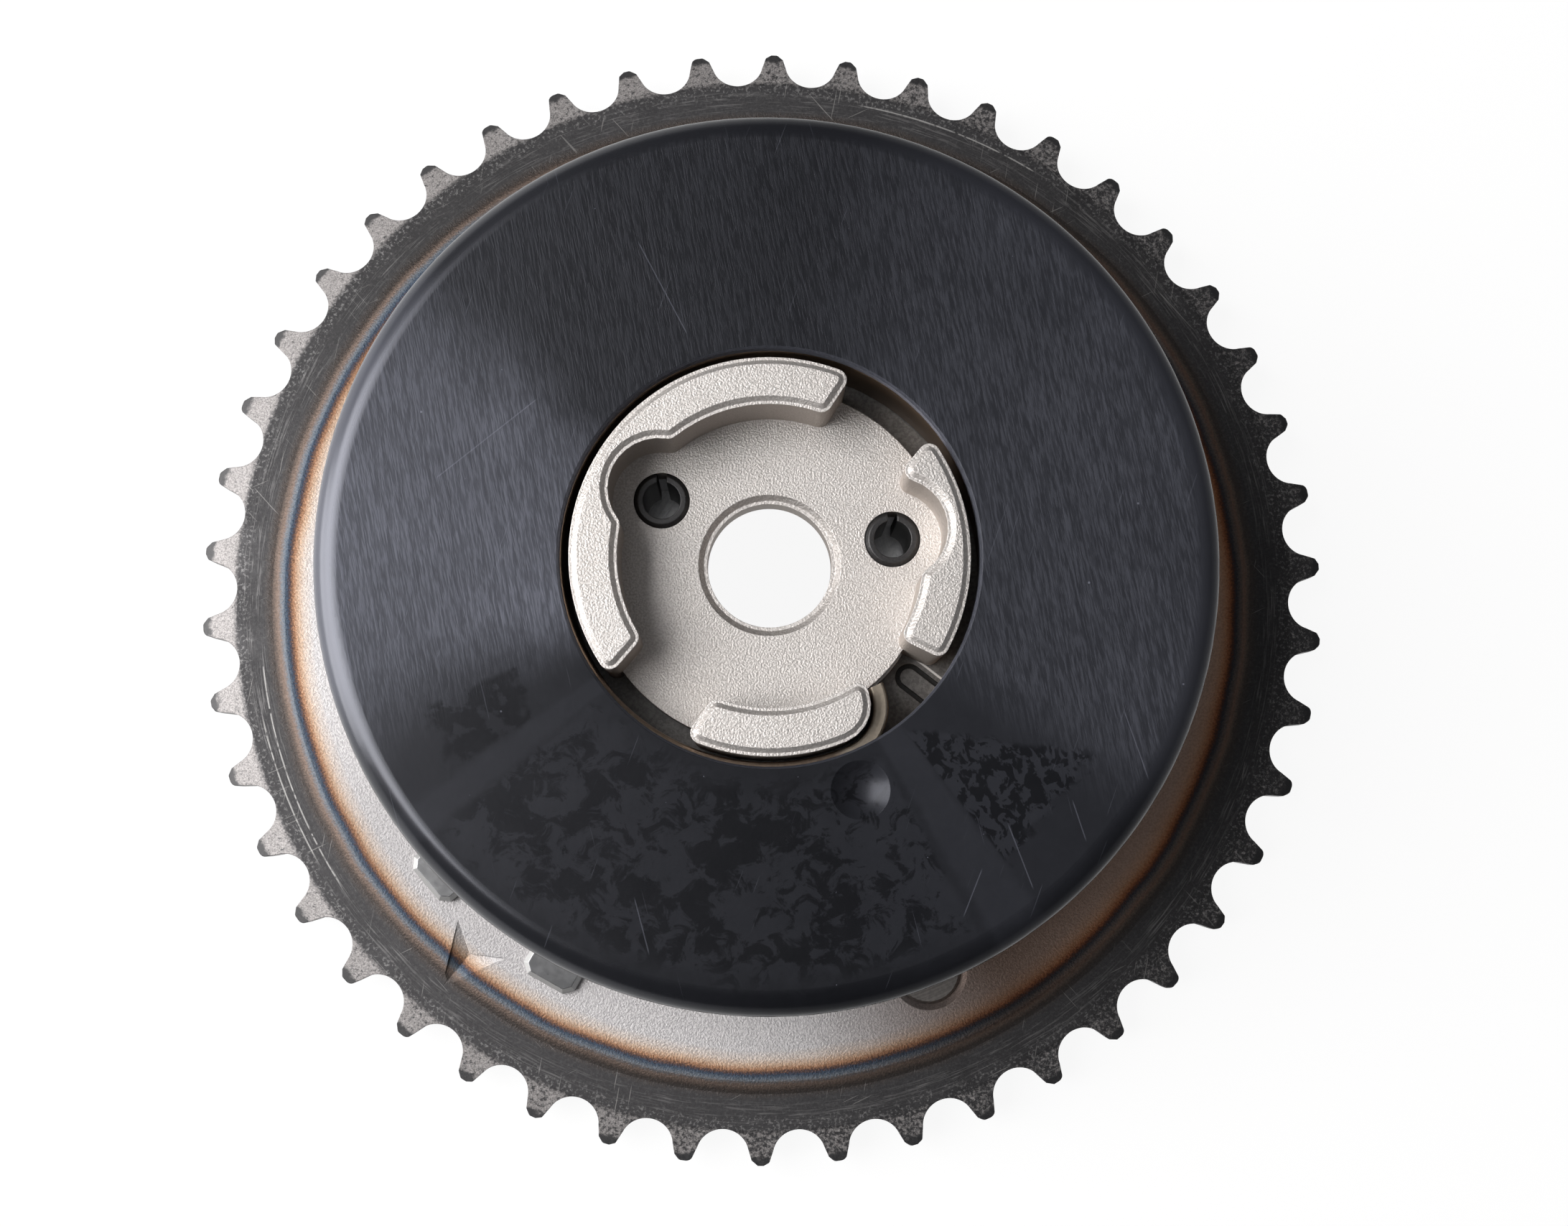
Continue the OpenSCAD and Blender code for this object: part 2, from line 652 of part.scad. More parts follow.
module housing_screws() {
    z_head = head_sink + head_h;
    color("dimgray") for (k = [0:vane_count - 1]) difference() {
        union() {
            drill(screw_ring_r, lobe_at(k), head_r, head_sink, z_head);
            drill(screw_ring_r, lobe_at(k), screw_r, z_head - eps, z_plate_front - thread_gap);
        }
        rotate(lobe_at(k)) translate([screw_ring_r, 0, head_sink - eps])
            cylinder(r = socket_half_w / cos(30), h = socket_depth + eps, $fn = 6);
    }
}

module rotor() {
    z_front = z_rotor + rotor_l;
    color("lightslategray") difference() {
        union() {
            translate([0, 0, z_rotor]) cylinder(r = hub_r, h = rotor_l);
            translate([0, 0, rotor_inset]) cylinder(r = rear_journal_r, h = z_rotor - rotor_inset + eps);
            translate([0, 0, z_front - eps]) cylinder(r = front_journal_r, h = z_hub - z_front + eps);
            for (k = [0:vane_count - 1])
                sector(vane_r, vane_at(k) - vane_sweep / 2, vane_sweep, z_rotor, rotor_l);
        }
        translate([0, 0, rotor_inset - eps]) cylinder(r = rotor_bore_r, h = z_hub - rotor_inset + 2 * eps);
        translate([0, 0, rotor_inset - eps]) cylinder(r = nose_r, h = nose_depth + eps);
        drill(dowel_ring_r, vane_angle, dowel_r, z_nose - eps, z_nose + dowel_depth);
        for (k = [0:vane_count - 1]) {
            vane_slot(k);
            oil_drilling(vane_at(k) - vane_sweep / 2 - oil_offset, 1 / 4);
            oil_drilling(vane_at(k) + vane_sweep / 2 + oil_offset, 1 / 2);
        }
        drill(lock_ring_r, vane_angle, lock_r + lock_gap, z_rotor - eps, z_front + eps);
        for (a = [left_pin_angle, right_pin_angle])
            drill(pin_ring_r, a, pin_r + press_gap, z_hub - pin_depth, z_hub + eps);
    }
}

// Slot for the seal bar at a vane's tip
module vane_slot(k) {
    rotate(vane_at(k))
        translate([vane_seal_r - slot_depth, -seal_w / 2 - seal_play, z_rotor - eps])
        cube([slot_depth + eps, seal_w + 2 * seal_play, rotor_l + 2 * eps]);
}

// Radial oil way from the camshaft socket to a chamber, at a share of the rotor's length
module oil_drilling(a, share) {
    rotate(a) translate([nose_r - eps, 0, z_rotor + rotor_l * share]) rotate([0, 90, 0])
        cylinder(r = oil_r, h = hub_r - nose_r + 2 * eps);
}

// Seal bar that runs on the chamber wall
module vane_seal(k) {
    color("black") intersection() {
        rotate(vane_at(k - 1))
            translate([vane_seal_r - seal_h, -seal_w / 2, z_rotor + leaf_play])
            cube([seal_h, seal_w, rotor_l - 2 * leaf_play]);
        translate([0, 0, z_rotor]) cylinder(r = vane_seal_r, h = rotor_l);
    }
}

// Seal bar that runs on the rotor
module lobe_seal(k) {
    color("black") difference() {
        rotate(lobe_at(k - 1))
            translate([lobe_seal_r - seal_w / 2, -seal_w / 2, z_web + leaf_play])
            cube([seal_h + seal_w / 2, seal_w, chamber_l - 2 * leaf_play]);
        translate([0, 0, z_web - eps]) cylinder(r = lobe_seal_r, h = chamber_l + 2 * eps);
    }
}

// Bowed leaf spring that fills the room between a slot's floor at X = 0 and a seal bar
module leaf_spring(l) {
    rise = leaf_room - leaf_t - leaf_play;
    bow_r = (l * l / 4 + rise * rise) / (2 * rise);
    rotate([90, 0, 0]) translate([bow_r + leaf_t + leaf_play / 2, 0, -seal_w / 2]) linear_extrude(seal_w)
        intersection() {
            difference() {
                circle(r = bow_r + leaf_t, $fn = bow_steps);
                circle(r = bow_r, $fn = bow_steps);
            }
            translate([-bow_r - 2 * leaf_t, -l / 2]) square([rise + 3 * leaf_t, l]);
        }
}

module vane_seal_spring(k) {
    color("silver") rotate(vane_at(k - 1))
        translate([vane_seal_r - slot_depth, 0, z_rotor + rotor_l / 2])
        leaf_spring(rotor_l - 2 * leaf_play);
}

module lobe_seal_spring(k) {
    color("silver") rotate(lobe_at(k - 1))
        translate([lobe_seal_r + slot_depth, 0, z_web + chamber_l / 2])
        mirror([1, 0, 0]) leaf_spring(chamber_l - 2 * leaf_play);
}

// Straight end of a boss: at its start the lean turns clockwise, at its end counterclockwise
function boss_start(boss) = edge(boss[0] - boss[1] - 90, polar(boss_mid_r, boss[0]));
function boss_end(boss) = edge(boss[2] + boss[3] + 90, polar(boss_mid_r, boss[2]));
outer_rim = rim([0, 0], boss_r, 1);
inner_rim = rim([0, 0], boss_in_r, -1);
left_scallop = rim(left_pin, scallop_r, -1);
right_scallop = rim(right_pin, scallop_r, -1);

left_boss_loop = rounded_loop(
    [outer_rim, boss_end(left_boss), inner_rim, left_scallop, inner_rim, boss_start(left_boss)],
    [
        [boss_corner_r, polar(boss_r, left_boss[2])],
        [boss_corner_r, polar(boss_in_r, left_boss[2])],
        [boss_corner_r, polar(boss_r, left_pin_angle + scallop_side)],
        [boss_corner_r, polar(boss_r, left_pin_angle - scallop_side)],
        [boss_corner_r, polar(boss_in_r, left_boss[0])],
        [boss_corner_r, polar(boss_r, left_boss[0])]
    ]
);
right_boss_loop = rounded_loop(
    [outer_rim, boss_end(right_boss), right_scallop, inner_rim, boss_start(right_boss)],
    [
        [boss_corner_r, polar(boss_r, right_boss[2])],
        [boss_corner_r, polar(boss_in_r, right_boss[2])],
        [boss_corner_r, polar(boss_r, right_pin_angle - scallop_side)],
        [boss_corner_r, polar(boss_in_r, right_boss[0])],
        [boss_corner_r, polar(boss_r, right_boss[0])]
    ]
);
hook_boss_loop = rounded_loop(
    [outer_rim, boss_end(hook_boss), inner_rim, boss_start(hook_boss)],
    [
        [hook_corner_r, polar(boss_r, hook_boss[2])],
        [boss_corner_r, polar(boss_in_r, hook_boss[2])],
        [boss_corner_r, polar(boss_in_r, hook_boss[0])],
        [boss_corner_r, polar(boss_r, hook_boss[0])]
    ]
);

module spring_hub() {
    bore_out_r = bolt_r + bore_land;
    color("silver") difference() {
        union() {
            difference() {
                translate([0, 0, z_hub - eps]) cylinder(r = floor_r, h = floor_t + eps);
                difference() {
                    sector(2 * floor_r, notch_start, notch_sweep, z_hub - 2 * eps, floor_t + 3 * eps);
                    translate([0, 0, z_hub - 3 * eps]) cylinder(r = notch_r, h = floor_t + 6 * eps);
                }
            }
            for (loop = [left_boss_loop, right_boss_loop, hook_boss_loop])
                bevelled_prism(loop, z_hub - 2 * eps, z_boss, boss_bevel, boss_land);
        }
        translate([0, 0, z_hub - 4 * eps]) cylinder(r = 2 * boss_r, h = 4 * eps);
        translate([0, 0, z_hub - eps]) cylinder(r = bolt_r, h = floor_t + 2 * eps);
        translate([0, 0, z_floor - bore_chamfer])
            cylinder(r1 = bore_out_r, r2 = bore_out_r + bore_chamfer + eps, h = bore_chamfer + eps);
        for (a = [left_pin_angle, right_pin_angle])
            drill(pin_ring_r, a, pin_r + press_gap, z_hub - eps, z_floor + eps);
    }
}

// Rolled pin with a slot that points up in the front view
module slotted_pin(a) {
    l = pin_depth + floor_t + pin_proud;
    hole_r = pin_r - pin_wall;
    translate([pin_ring_r * cos(a), pin_ring_r * sin(a), z_hub - pin_depth]) difference() {
        rotate_extrude() polygon([
            [hole_r, 0], [pin_r - pin_chamfer, 0], [pin_r, pin_chamfer],
            [pin_r, l - pin_chamfer], [pin_r - pin_chamfer, l], [hole_r, l]
        ]);
        translate([-pin_slot_w / 2, 0, -eps]) cube([pin_slot_w, 2 * pin_r, l + 2 * eps]);
    }
}

module left_spring_pin() {
    color("black") slotted_pin(left_pin_angle);
}

module right_spring_pin() {
    color("black") slotted_pin(right_pin_angle);
}

// Centre line of the strip: hook round the boss, coils of half turns, eye round the anchor pin.
// All the arcs meet on the line from the axis through the hook's bend and the anchor pin.
hook_edge = boss_end(hook_boss);
hook_centre = corner(outer_rim, hook_edge, hook_corner_r, polar(boss_r, hook_boss[2]));
hook_bend_r = hook_corner_r + strip_gap + strip_t / 2;
hook_turn = turn_between(direction(hook_centre), direction(hook_edge[1]));
coil_angle = direction(hook_centre);
half_turns = 2 * spring_turns;
anchor_angle = coil_angle - 180 * half_turns;
anchor_pin = polar(anchor_ring_r, anchor_angle);
function coil_r(turns) = coil_start_r + (coil_pitch - coil_growth) * turns + coil_growth * turns * turns;

// Section of the strip at a distance from the bend's centre, with rounded top edges
module strip_section(r) {
    side = strip_t / 2;
    polygon(concat(
        [[r - side, z_spring], [r + side, z_spring]],
        [for (i = [0:round_steps])
            let (a = 90 * i / round_steps)
            [r + side - strip_bevel * (1 - cos(a)), z_spring_top - strip_bevel * (1 - sin(a))]],
        [for (i = [round_steps:-1:0])
            let (a = 90 * i / round_steps)
            [r - side + strip_bevel * (1 - cos(a)), z_spring_top - strip_bevel * (1 - sin(a))]]
    ));
}

// Stretch of the strip that bends round a point on the X axis
module strip_bend(x, r, a0, sweep) {
    translate([x, 0, 0]) rotate(a0) rotate_extrude(angle = sweep) strip_section(r);
}

module bias_spring() {
    color("peru") rotate(coil_angle) {
        strip_bend(norm(hook_centre), hook_bend_r, 0, hook_turn + hook_l / hook_bend_r * 180 / PI);
        for (k = [0:half_turns - 1]) {
            r0 = coil_r(k / 2);
            r1 = coil_r((k + 1) / 2);
            side = k % 2 == 0 ? 1 : -1;
            strip_bend(side * (r0 - r1) / 2, (r0 + r1) / 2, side > 0 ? 180 : 0, 180);
        }
        anchor_side = half_turns % 2 == 0 ? 1 : -1;
        strip_bend(anchor_side * anchor_ring_r, eye_r, anchor_side > 0 ? 180 : 0, eye_sweep);
    }
}

module spring_anchor_pin() {
    color("gray") translate([anchor_pin[0], anchor_pin[1], z_plate_front - anchor_depth])
        cylinder(r = anchor_r, h = z_spring_top - z_plate_front + anchor_depth);
}

// Half section of the cover: face, rounded edge and skirt
module cover_section(depth) {
    bend = [cover_r - cover_round, depth - cover_round];
    translate([opening_r, depth - cover_t]) square([bend[0] - opening_r, cover_t]);
    translate([cover_r - cover_t, 0]) square([cover_t, bend[1]]);
    translate(bend) intersection() {
        difference() {
            circle(r = cover_round);
            circle(r = cover_round - cover_t);
        }
        square(cover_round);
    }
}

module spring_cover() {
    dimple_ball_r = (dimple_r * dimple_r + dimple_depth * dimple_depth) / (2 * dimple_depth);
    z_ball = z_cover - dimple_depth + dimple_ball_r;
    dimple = polar(dimple_ring_r, dimple_angle);
    color("black") difference() {
        union() {
            translate([0, 0, z_flange]) rotate_extrude() cover_section(z_cover - z_flange);
            intersection() {
                translate([dimple[0], dimple[1], z_ball]) sphere(r = dimple_ball_r + cover_t);
                translate([dimple[0], dimple[1], z_cover_in - dimple_depth - eps])
                    cylinder(r = dimple_r, h = dimple_depth + eps + cover_t / 2);
            }
        }
        translate([dimple[0], dimple[1], z_ball]) sphere(r = dimple_ball_r);
        translate([0, 0, z_cover - opening_chamfer])
            cylinder(r1 = opening_r, r2 = opening_r + opening_chamfer + eps, h = opening_chamfer + eps);
    }
}

module lock_pin() {
    z_pin = z_web + lock_lift;
    color("gray") difference() {
        drill(lock_ring_r, vane_angle, lock_r, z_pin, z_pin + lock_l);
        drill(lock_ring_r, vane_angle, lock_r - lock_wall, z_pin + lock_nose, z_pin + lock_l + eps);
    }
}

module lock_pin_plug() {
    z_front = z_rotor + rotor_l;
    color("gray")
        drill(lock_ring_r, vane_angle, lock_r + lock_gap - press_gap, z_front - lock_plug_t, z_front);
}

// Coil spring between the lock pin's cup and its plug
module lock_pin_spring() {
    z0 = z_web + lock_lift + lock_nose + lock_wire / 2 + press_gap;
    z1 = z_rotor + rotor_l - lock_plug_t - lock_wire / 2 - press_gap;
    coil_r = lock_r - lock_wall - lock_wire / 2 - lock_coil_gap;
    steps = turn_steps * lock_turns;
    rings = [for (i = [0:steps])
        let (a = 360 * lock_turns * i / steps, z = z0 + (z1 - z0) * i / steps)
        [for (s = [0:wire_sides - 1])
            let (p = polar(lock_wire / 2, -360 * s / wire_sides), q = polar(coil_r + p[0], a))
            [q[0], q[1], z + p[1]]]];
    wire = [for (s = [0:wire_sides - 1]) polar(lock_wire / 2, 360 * s / wire_sides)];
    color("silver") rotate(vane_angle) translate([lock_ring_r, 0, 0]) skinned(rings, wire, wire);
}

sprocket();
sprocket_plug();
lock_bushing();
stator_housing();
front_plate();
housing_screws();
rotor();
spring_hub();
left_spring_pin();
right_spring_pin();
bias_spring();
spring_anchor_pin();
spring_cover();
lock_pin();
lock_pin_spring();
lock_pin_plug();
for (k = [1:vane_count]) {
    vane_seal(k);
    vane_seal_spring(k);
    lobe_seal(k);
    lobe_seal_spring(k);
}
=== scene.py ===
import json
import math

import bmesh
import bpy
from mathutils import Matrix, Vector


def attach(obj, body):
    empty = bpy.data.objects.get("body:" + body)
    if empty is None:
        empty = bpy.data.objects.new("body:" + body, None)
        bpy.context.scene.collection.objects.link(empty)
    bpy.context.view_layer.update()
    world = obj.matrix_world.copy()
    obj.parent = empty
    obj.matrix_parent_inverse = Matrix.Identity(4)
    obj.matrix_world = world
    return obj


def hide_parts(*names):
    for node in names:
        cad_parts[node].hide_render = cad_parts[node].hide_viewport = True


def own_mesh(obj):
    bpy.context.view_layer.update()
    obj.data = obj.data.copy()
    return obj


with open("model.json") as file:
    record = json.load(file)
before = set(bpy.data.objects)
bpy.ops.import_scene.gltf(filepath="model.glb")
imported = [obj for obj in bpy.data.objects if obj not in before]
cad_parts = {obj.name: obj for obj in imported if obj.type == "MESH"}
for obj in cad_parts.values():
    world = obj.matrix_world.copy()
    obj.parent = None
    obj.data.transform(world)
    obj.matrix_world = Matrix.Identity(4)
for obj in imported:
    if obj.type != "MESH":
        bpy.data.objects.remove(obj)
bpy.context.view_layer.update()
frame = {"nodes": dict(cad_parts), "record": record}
nodes = frame["nodes"]
scene = bpy.context.scene
scene.view_settings.view_transform = "Standard"

MM = 0.001
MM_PER_M = 1000.0
DEGREES = 180.0 / math.pi

# Camera: picture size, focal length and principal point in pixels, place in millimetres
IMAGE_W, IMAGE_H = 2184, 1707
FOCAL = 2942.5
PRINCIPAL = (1162.5, 886.3)
CAMERA_AT = (-2.08, -30.49, 273.38)
FORWARD = (0.03943, 0.09464, -0.99473)
SIDEWAYS = (0.99922, -0.00418, 0.03921)
SENSOR_WIDTH = 36.0

# Height of the front plate's front face in millimetres
PLATE_FRONT = max(v.co.z for v in nodes["front_plate"].data.vertices) * MM_PER_M
# Radius of the cover's opening in millimetres
OPENING = min(math.hypot(*v.co.xy) for v in nodes["spring_cover"].data.vertices) * MM_PER_M

# Heat tint of the sprocket: radius in millimetres and colour, from bare steel to the tooth ring
TINT_LOW, TINT_HIGH = 56.0, 66.0
TINT = (
    (57.4, (0.43, 0.416, 0.419)),
    (58.5, (0.45, 0.39, 0.35)),
    (59.2, (0.41, 0.295, 0.215)),
    (59.75, (0.27, 0.145, 0.085)),
    (60.15, (0.090, 0.055, 0.047)),
    (60.55, (0.040, 0.058, 0.088)),
    (61.1, (0.12, 0.135, 0.155)),
    (61.7, (0.155, 0.115, 0.095)),
    (62.5, (0.060, 0.049, 0.044)),
    (63.6, (0.037, 0.0355, 0.0375)),
)
# Sprocket radii in millimetres at which one finish fades into the next
WEB_END = (60.4, 59.6)
# RIGHT_TINT_AND_SHADE_END: where the painted shade and brown tint on the right of the web end
RIGHT_TINT_AND_SHADE_END = (62.2, 61.2)
RING_START = (62.2, 63.4)
RUBBED_BAND = (63.2, 65.6)
FLANK_START = (65.2, 66.2)
FACE_START = (66.4, 67.3)
TIP_START = (69.7, 70.3)
# Sprocket heights in millimetres: the web's grain ends, a pad's chamfer starts and ends, its top
GRAIN_END = (8.9, 8.7)
PAD_FOOT = (8.75, 8.9)
CHAMFER_END = (9.39, 9.37)
PAD_TOP = (9.36, 9.39)
# Long scratches on the tooth ring: radius, slope, first and last angle in degrees
RING_SCRATCHES = (
    (63.9, 0.9, -172.0, -146.0),
    (64.9, 0.5, -166.0, -150.0),
    (65.2, -0.6, 58.0, 79.0),
)

# Radii in millimetres over which the cover's flat goes over into its rounded rim
COVER_RIM = (46.4, 47.6)
# Smears on the cover, in degrees round it: where they start and end, two fields of blots, the
# start of the third, and the bands wiped clean
SMEARS_START, SMEARS_END = (-168.0, -148.0), (-24.0, -40.0)
LEFT_FIELD, LOW_FIELD, RIGHT_FIELD_START = (-156.0, -145.5), (-140.0, -61.5), (-53.0, -52.4)
WIPED_LEFT, WIPED_RIGHT = (-145.0, -140.6), (-60.0, -53.0)
# Their radii, and the third field's two straight sides, in millimetres
LEFT_FIELD_R, LOW_FIELD_R = (30.5, 40.5), (25.0, 45.5)
RIGHT_FIELD_TOP, RIGHT_FIELD_SIDE = (16.6, 17.4), (41.4, 40.0)
# Scratches on the cover: both ends, in millimetres
COVER_SCRATCHES = (
    (38.4, -17.2, 40.8, -24.2),
    (25.6, -29.3, 28.1, -35.9),
    (32.6, -26.8, 33.9, -30.8),
    (22.6, -34.1, 20.7, -38.8),
    (-14.5, -37.0, -13.0, -42.6),
    (-14.4, 34.5, -9.2, 24.6),
    (-36.0, 8.5, -25.5, 17.0),
)
# Small ring beside the cover's dimple: middle and radius in millimetres
COVER_RING_AT, COVER_RING_R = (6.3, -26.2), 0.85

# Spring strip: heights of its rubbed top edge, and middle of the painted highlight at the hook,
# in millimetres
STRIP_TOP = (42.35, 42.75)
HOOK_AT = (13.5, -18.5)
# Front plate's coined groove, in millimetres: outer radius, depth, ends of a painted highlight
# along one edge
GROOVE_RADIUS = (27.0, 26.0)
GROOVE_DEPTH = (0.03, 0.10)
GROOVE_HIGHLIGHT = (16.8, -10.31, 19.9, -12.71)

# Stand-ins: vertices closer than this in metres are one, and walls, whose normals rise less
# than this, are shaded smooth up to this angle in degrees
MERGE = 2e-7
WALL_NORMAL = 0.3
WALL_LIMIT = 30.0
# Tooth tips, in metres: smallest radius, least rise of an edge, the rounding, and in degrees
# the least angle of an edge that is rounded
TIP_RADIUS = 0.0705
TIP_EDGE = 0.002
TIP_ROUNDING = 0.00072
TIP_ANGLE = 40.0

# Floor, in metres: flat radius, outer radius and height of the raised rim
FLOOR_FLAT, FLOOR_OUTER, FLOOR_RISE = 2.0, 4.0, 0.5
FLOOR_SIDES, FLOOR_STEPS = 96, 12
FLOOR_DROP = 0.0001
FLOOR_LIFT = 0.92
# Lamps: name, place, width and height in metres, power in watts and colour
LAMP_TARGET = (0.0, 0.0, 0.03)
WARM_WHITE, WHITE = (1.0, 0.99, 0.98), (1.0, 1.0, 1.0)
LAMPS = (
    ("key", (-0.50, 0.05, 0.62), 0.6, 0.6, 9.6, WARM_WHITE),
    ("side", (-0.75, 0.0, 0.24), 0.5, 0.34, 3.6, WARM_WHITE),
    ("fill", (-0.30, 0.05, 1.0), 0.5, 0.5, 0.35, WHITE),
)
# Room light: strength at the far left, and on the right from ROOM_MIDDLE on
ROOM_LEFT, ROOM_RIGHT = 0.24, 0.15
ROOM_MIDDLE = 0.15
ROOM_COLOUR = (0.97, 0.98, 1.0, 1.0)


class Graph:
    """One material's node tree. Places are in millimetres in the part's own frame."""

    def __init__(self, name):
        self.material = bpy.data.materials.new(name)
        self.material.use_nodes = True
        self.tree = self.material.node_tree
        self.shader = self.tree.nodes["Principled BSDF"]
        coords = self.tree.nodes.new("ShaderNodeTexCoord")
        scaled = self.tree.nodes.new("ShaderNodeVectorMath")
        scaled.operation = "SCALE"
        scaled.inputs["Scale"].default_value = MM_PER_M
        self.tree.links.new(coords.outputs["Object"], scaled.inputs[0])
        self.place = scaled.outputs[0]
        self.x, self.y, self.z = self.split(self.place)
        self.upright = self.math("ABSOLUTE", self.split(coords.outputs["Normal"])[2])
        self.r = self.math("SQRT", self.add(self.mul(self.x, self.x), self.mul(self.y, self.y)))
        self.angle = self.math("ARCTAN2", self.y, self.x)

    def put(self, value, socket):
        if isinstance(value, bpy.types.NodeSocket):
            self.tree.links.new(value, socket)
        elif isinstance(value, (tuple, list)) and socket.type == "RGBA":
            socket.default_value = (*value[:3], 1.0)
        else:
            socket.default_value = value

    def split(self, vector):
        node = self.tree.nodes.new("ShaderNodeSeparateXYZ")
        self.put(vector, node.inputs[0])
        return node.outputs[0], node.outputs[1], node.outputs[2]

    def join(self, x, y, z=0.0):
        node = self.tree.nodes.new("ShaderNodeCombineXYZ")
        for value, socket in zip((x, y, z), node.inputs):
            self.put(value, socket)
        return node.outputs[0]

    def math(self, operation, a, b=0.0, clamp=False):
        node = self.tree.nodes.new("ShaderNodeMath")
        node.operation = operation
        node.use_clamp = clamp
        for value, socket in zip((a, b), node.inputs):
            self.put(value, socket)
        return node.outputs[0]

    def add(self, a, b):
        return self.math("ADD", a, b)

    def sub(self, a, b):
        return self.math("SUBTRACT", a, b)

    def mul(self, a, b):
        return self.math("MULTIPLY", a, b)

    def most(self, a, b):
        return self.math("MAXIMUM", a, b)

    def step(self, value, low, high):
        """0 below low, 1 above high, smooth between. With low above high it falls instead."""
        node = self.tree.nodes.new("ShaderNodeMapRange")
        node.interpolation_type = "SMOOTHSTEP"
        self.put(value, node.inputs["Value"])
        flipped = low > high
        node.inputs["From Min"].default_value = min(low, high)
        node.inputs["From Max"].default_value = max(low, high)
        node.inputs["To Min"].default_value = 1.0 if flipped else 0.0
        node.inputs["To Max"].default_value = 0.0 if flipped else 1.0
        return node.outputs["Result"]

    def between(self, value, low, high, soft):
        rising = self.step(value, low - soft, low + soft)
        return self.mul(rising, self.step(value, high + soft, high - soft))

    def lerp(self, fac, a, b):
        return self.add(self.mul(self.sub(1.0, fac), a), self.mul(fac, b))

    def stretch(self, scale, turn=0.0, shift=(0.0, 0.0, 0.0)):
        """The place turned by some degrees about Z, then scaled, for streaks and lines."""
        turned = self.tree.nodes.new("ShaderNodeMapping")
        turned.vector_type = "POINT"
        turned.inputs["Rotation"].default_value = (0.0, 0.0, math.radians(-turn))
        self.put(self.place, turned.inputs["Vector"])
        scaled = self.tree.nodes.new("ShaderNodeMapping")
        scaled.vector_type = "POINT"
        scaled.inputs["Scale"].default_value = scale
        scaled.inputs["Location"].default_value = shift
        self.put(turned.outputs[0], scaled.inputs["Vector"])
        return scaled.outputs[0]

    def noise(self, scale, detail=2.0, rough=0.5, where=None, distortion=0.0):
        node = self.tree.nodes.new("ShaderNodeTexNoise")
        self.put(self.place if where is None else where, node.inputs["Vector"])
        node.inputs["Scale"].default_value = scale
        node.inputs["Detail"].default_value = detail
        node.inputs["Roughness"].default_value = rough
        node.inputs["Distortion"].default_value = distortion
        return node.outputs["Fac"]

    def sway(self, amount, scale, detail=2.0, rough=0.5):
        """Noise about 0, of a given amount from its lowest to its highest value."""
        return self.mul(self.sub(self.noise(scale, detail, rough), 0.5), amount)

    def ramp(self, fac, stops):
        node = self.tree.nodes.new("ShaderNodeValToRGB")
        elements = node.color_ramp.elements
        while len(elements) < len(stops):
            elements.new(0.5)
        for element, (position, colour) in zip(elements, stops):
            element.position = position
            element.color = (*colour, 1.0)
        self.put(fac, node.inputs[0])
        return node.outputs[0]

    def mix(self, fac, a, b, blend="MIX"):
        node = self.tree.nodes.new("ShaderNodeMix")
        node.data_type = "RGBA"
        node.blend_type = blend
        self.put(fac, node.inputs[0])
        self.put(a, node.inputs[6])
        self.put(b, node.inputs[7])
        return node.outputs[2]

    def times(self, a, b):
        """Product of two colours."""
        return self.mix(1.0, a, b, "MULTIPLY")

    def bump(self, height, distance, strength=1.0, normal=None):
        """Bump with the height in millimetres times distance."""
        node = self.tree.nodes.new("ShaderNodeBump")
        node.inputs["Strength"].default_value = strength
        node.inputs["Distance"].default_value = distance * MM
        self.put(height, node.inputs["Height"])
        if normal is not None:
            self.put(normal, node.inputs["Normal"])
        return node.outputs[0]

    def rounded(self, radius):
        """Normal with sharp edges rounded by a radius in millimetres."""
        node = self.tree.nodes.new("ShaderNodeBevel")
        node.samples = 6
        node.inputs["Radius"].default_value = radius * MM
        return node.outputs[0]

    def scratches(self, turn, spacing, length, seed, keep):
        """Thin straight lines along one direction, 1 on a line. A higher keep leaves fewer."""
        scale = (1.0 / length, 1.0 / spacing, 1.0 / length)
        where = self.stretch(scale, turn, (seed * 7.3, seed * 3.1, seed * 1.7))
        return self.step(self.noise(1.0, 0.0, 0.5, where), keep, keep + 0.05)

    def specks(self, scale, size, share, shift=0.0):
        """Small round dots, 1 in a dot, on a share of the cells."""
        cell = self.tree.nodes.new("ShaderNodeTexVoronoi")
        where = self.stretch((1.0, 1.0, 1.0), 0.0, (shift, shift * 0.7, shift * 0.3))
        self.put(where, cell.inputs["Vector"])
        cell.inputs["Scale"].default_value = scale
        dot = self.step(cell.outputs["Distance"], size, size * 0.6)
        pick = self.split(cell.outputs["Color"])[0]
        return self.mul(dot, self.step(pick, 1.0 - share, 1.01 - share))

    def distance_to(self, x, y):
        dx, dy = self.sub(self.x, x), self.sub(self.y, y)
        return self.math("SQRT", self.add(self.mul(dx, dx), self.mul(dy, dy)))

    def segment(self, x0, y0, x1, y1, width):
        """1 on a straight line between two places, seen along Z, and 0 beyond its width."""
        length = math.hypot(x1 - x0, y1 - y0)
        ux, uy = (x1 - x0) / length, (y1 - y0) / length
        dx, dy = self.sub(self.x, x0), self.sub(self.y, y0)
        along = self.add(self.mul(dx, ux), self.mul(dy, uy))
        off = self.math("ABSOLUTE", self.sub(self.mul(dx, uy), self.mul(dy, ux)))
        return self.mul(self.step(off, width, width * 0.4), self.between(along, 0.0, length, 0.4))

    def finish(self, colour, roughness, metallic, normal=None):
        self.put(colour, self.shader.inputs["Base Color"])
        self.put(roughness, self.shader.inputs["Roughness"])
        self.put(metallic, self.shader.inputs["Metallic"])
        if normal is not None:
            self.put(normal, self.shader.inputs["Normal"])
        return self.material


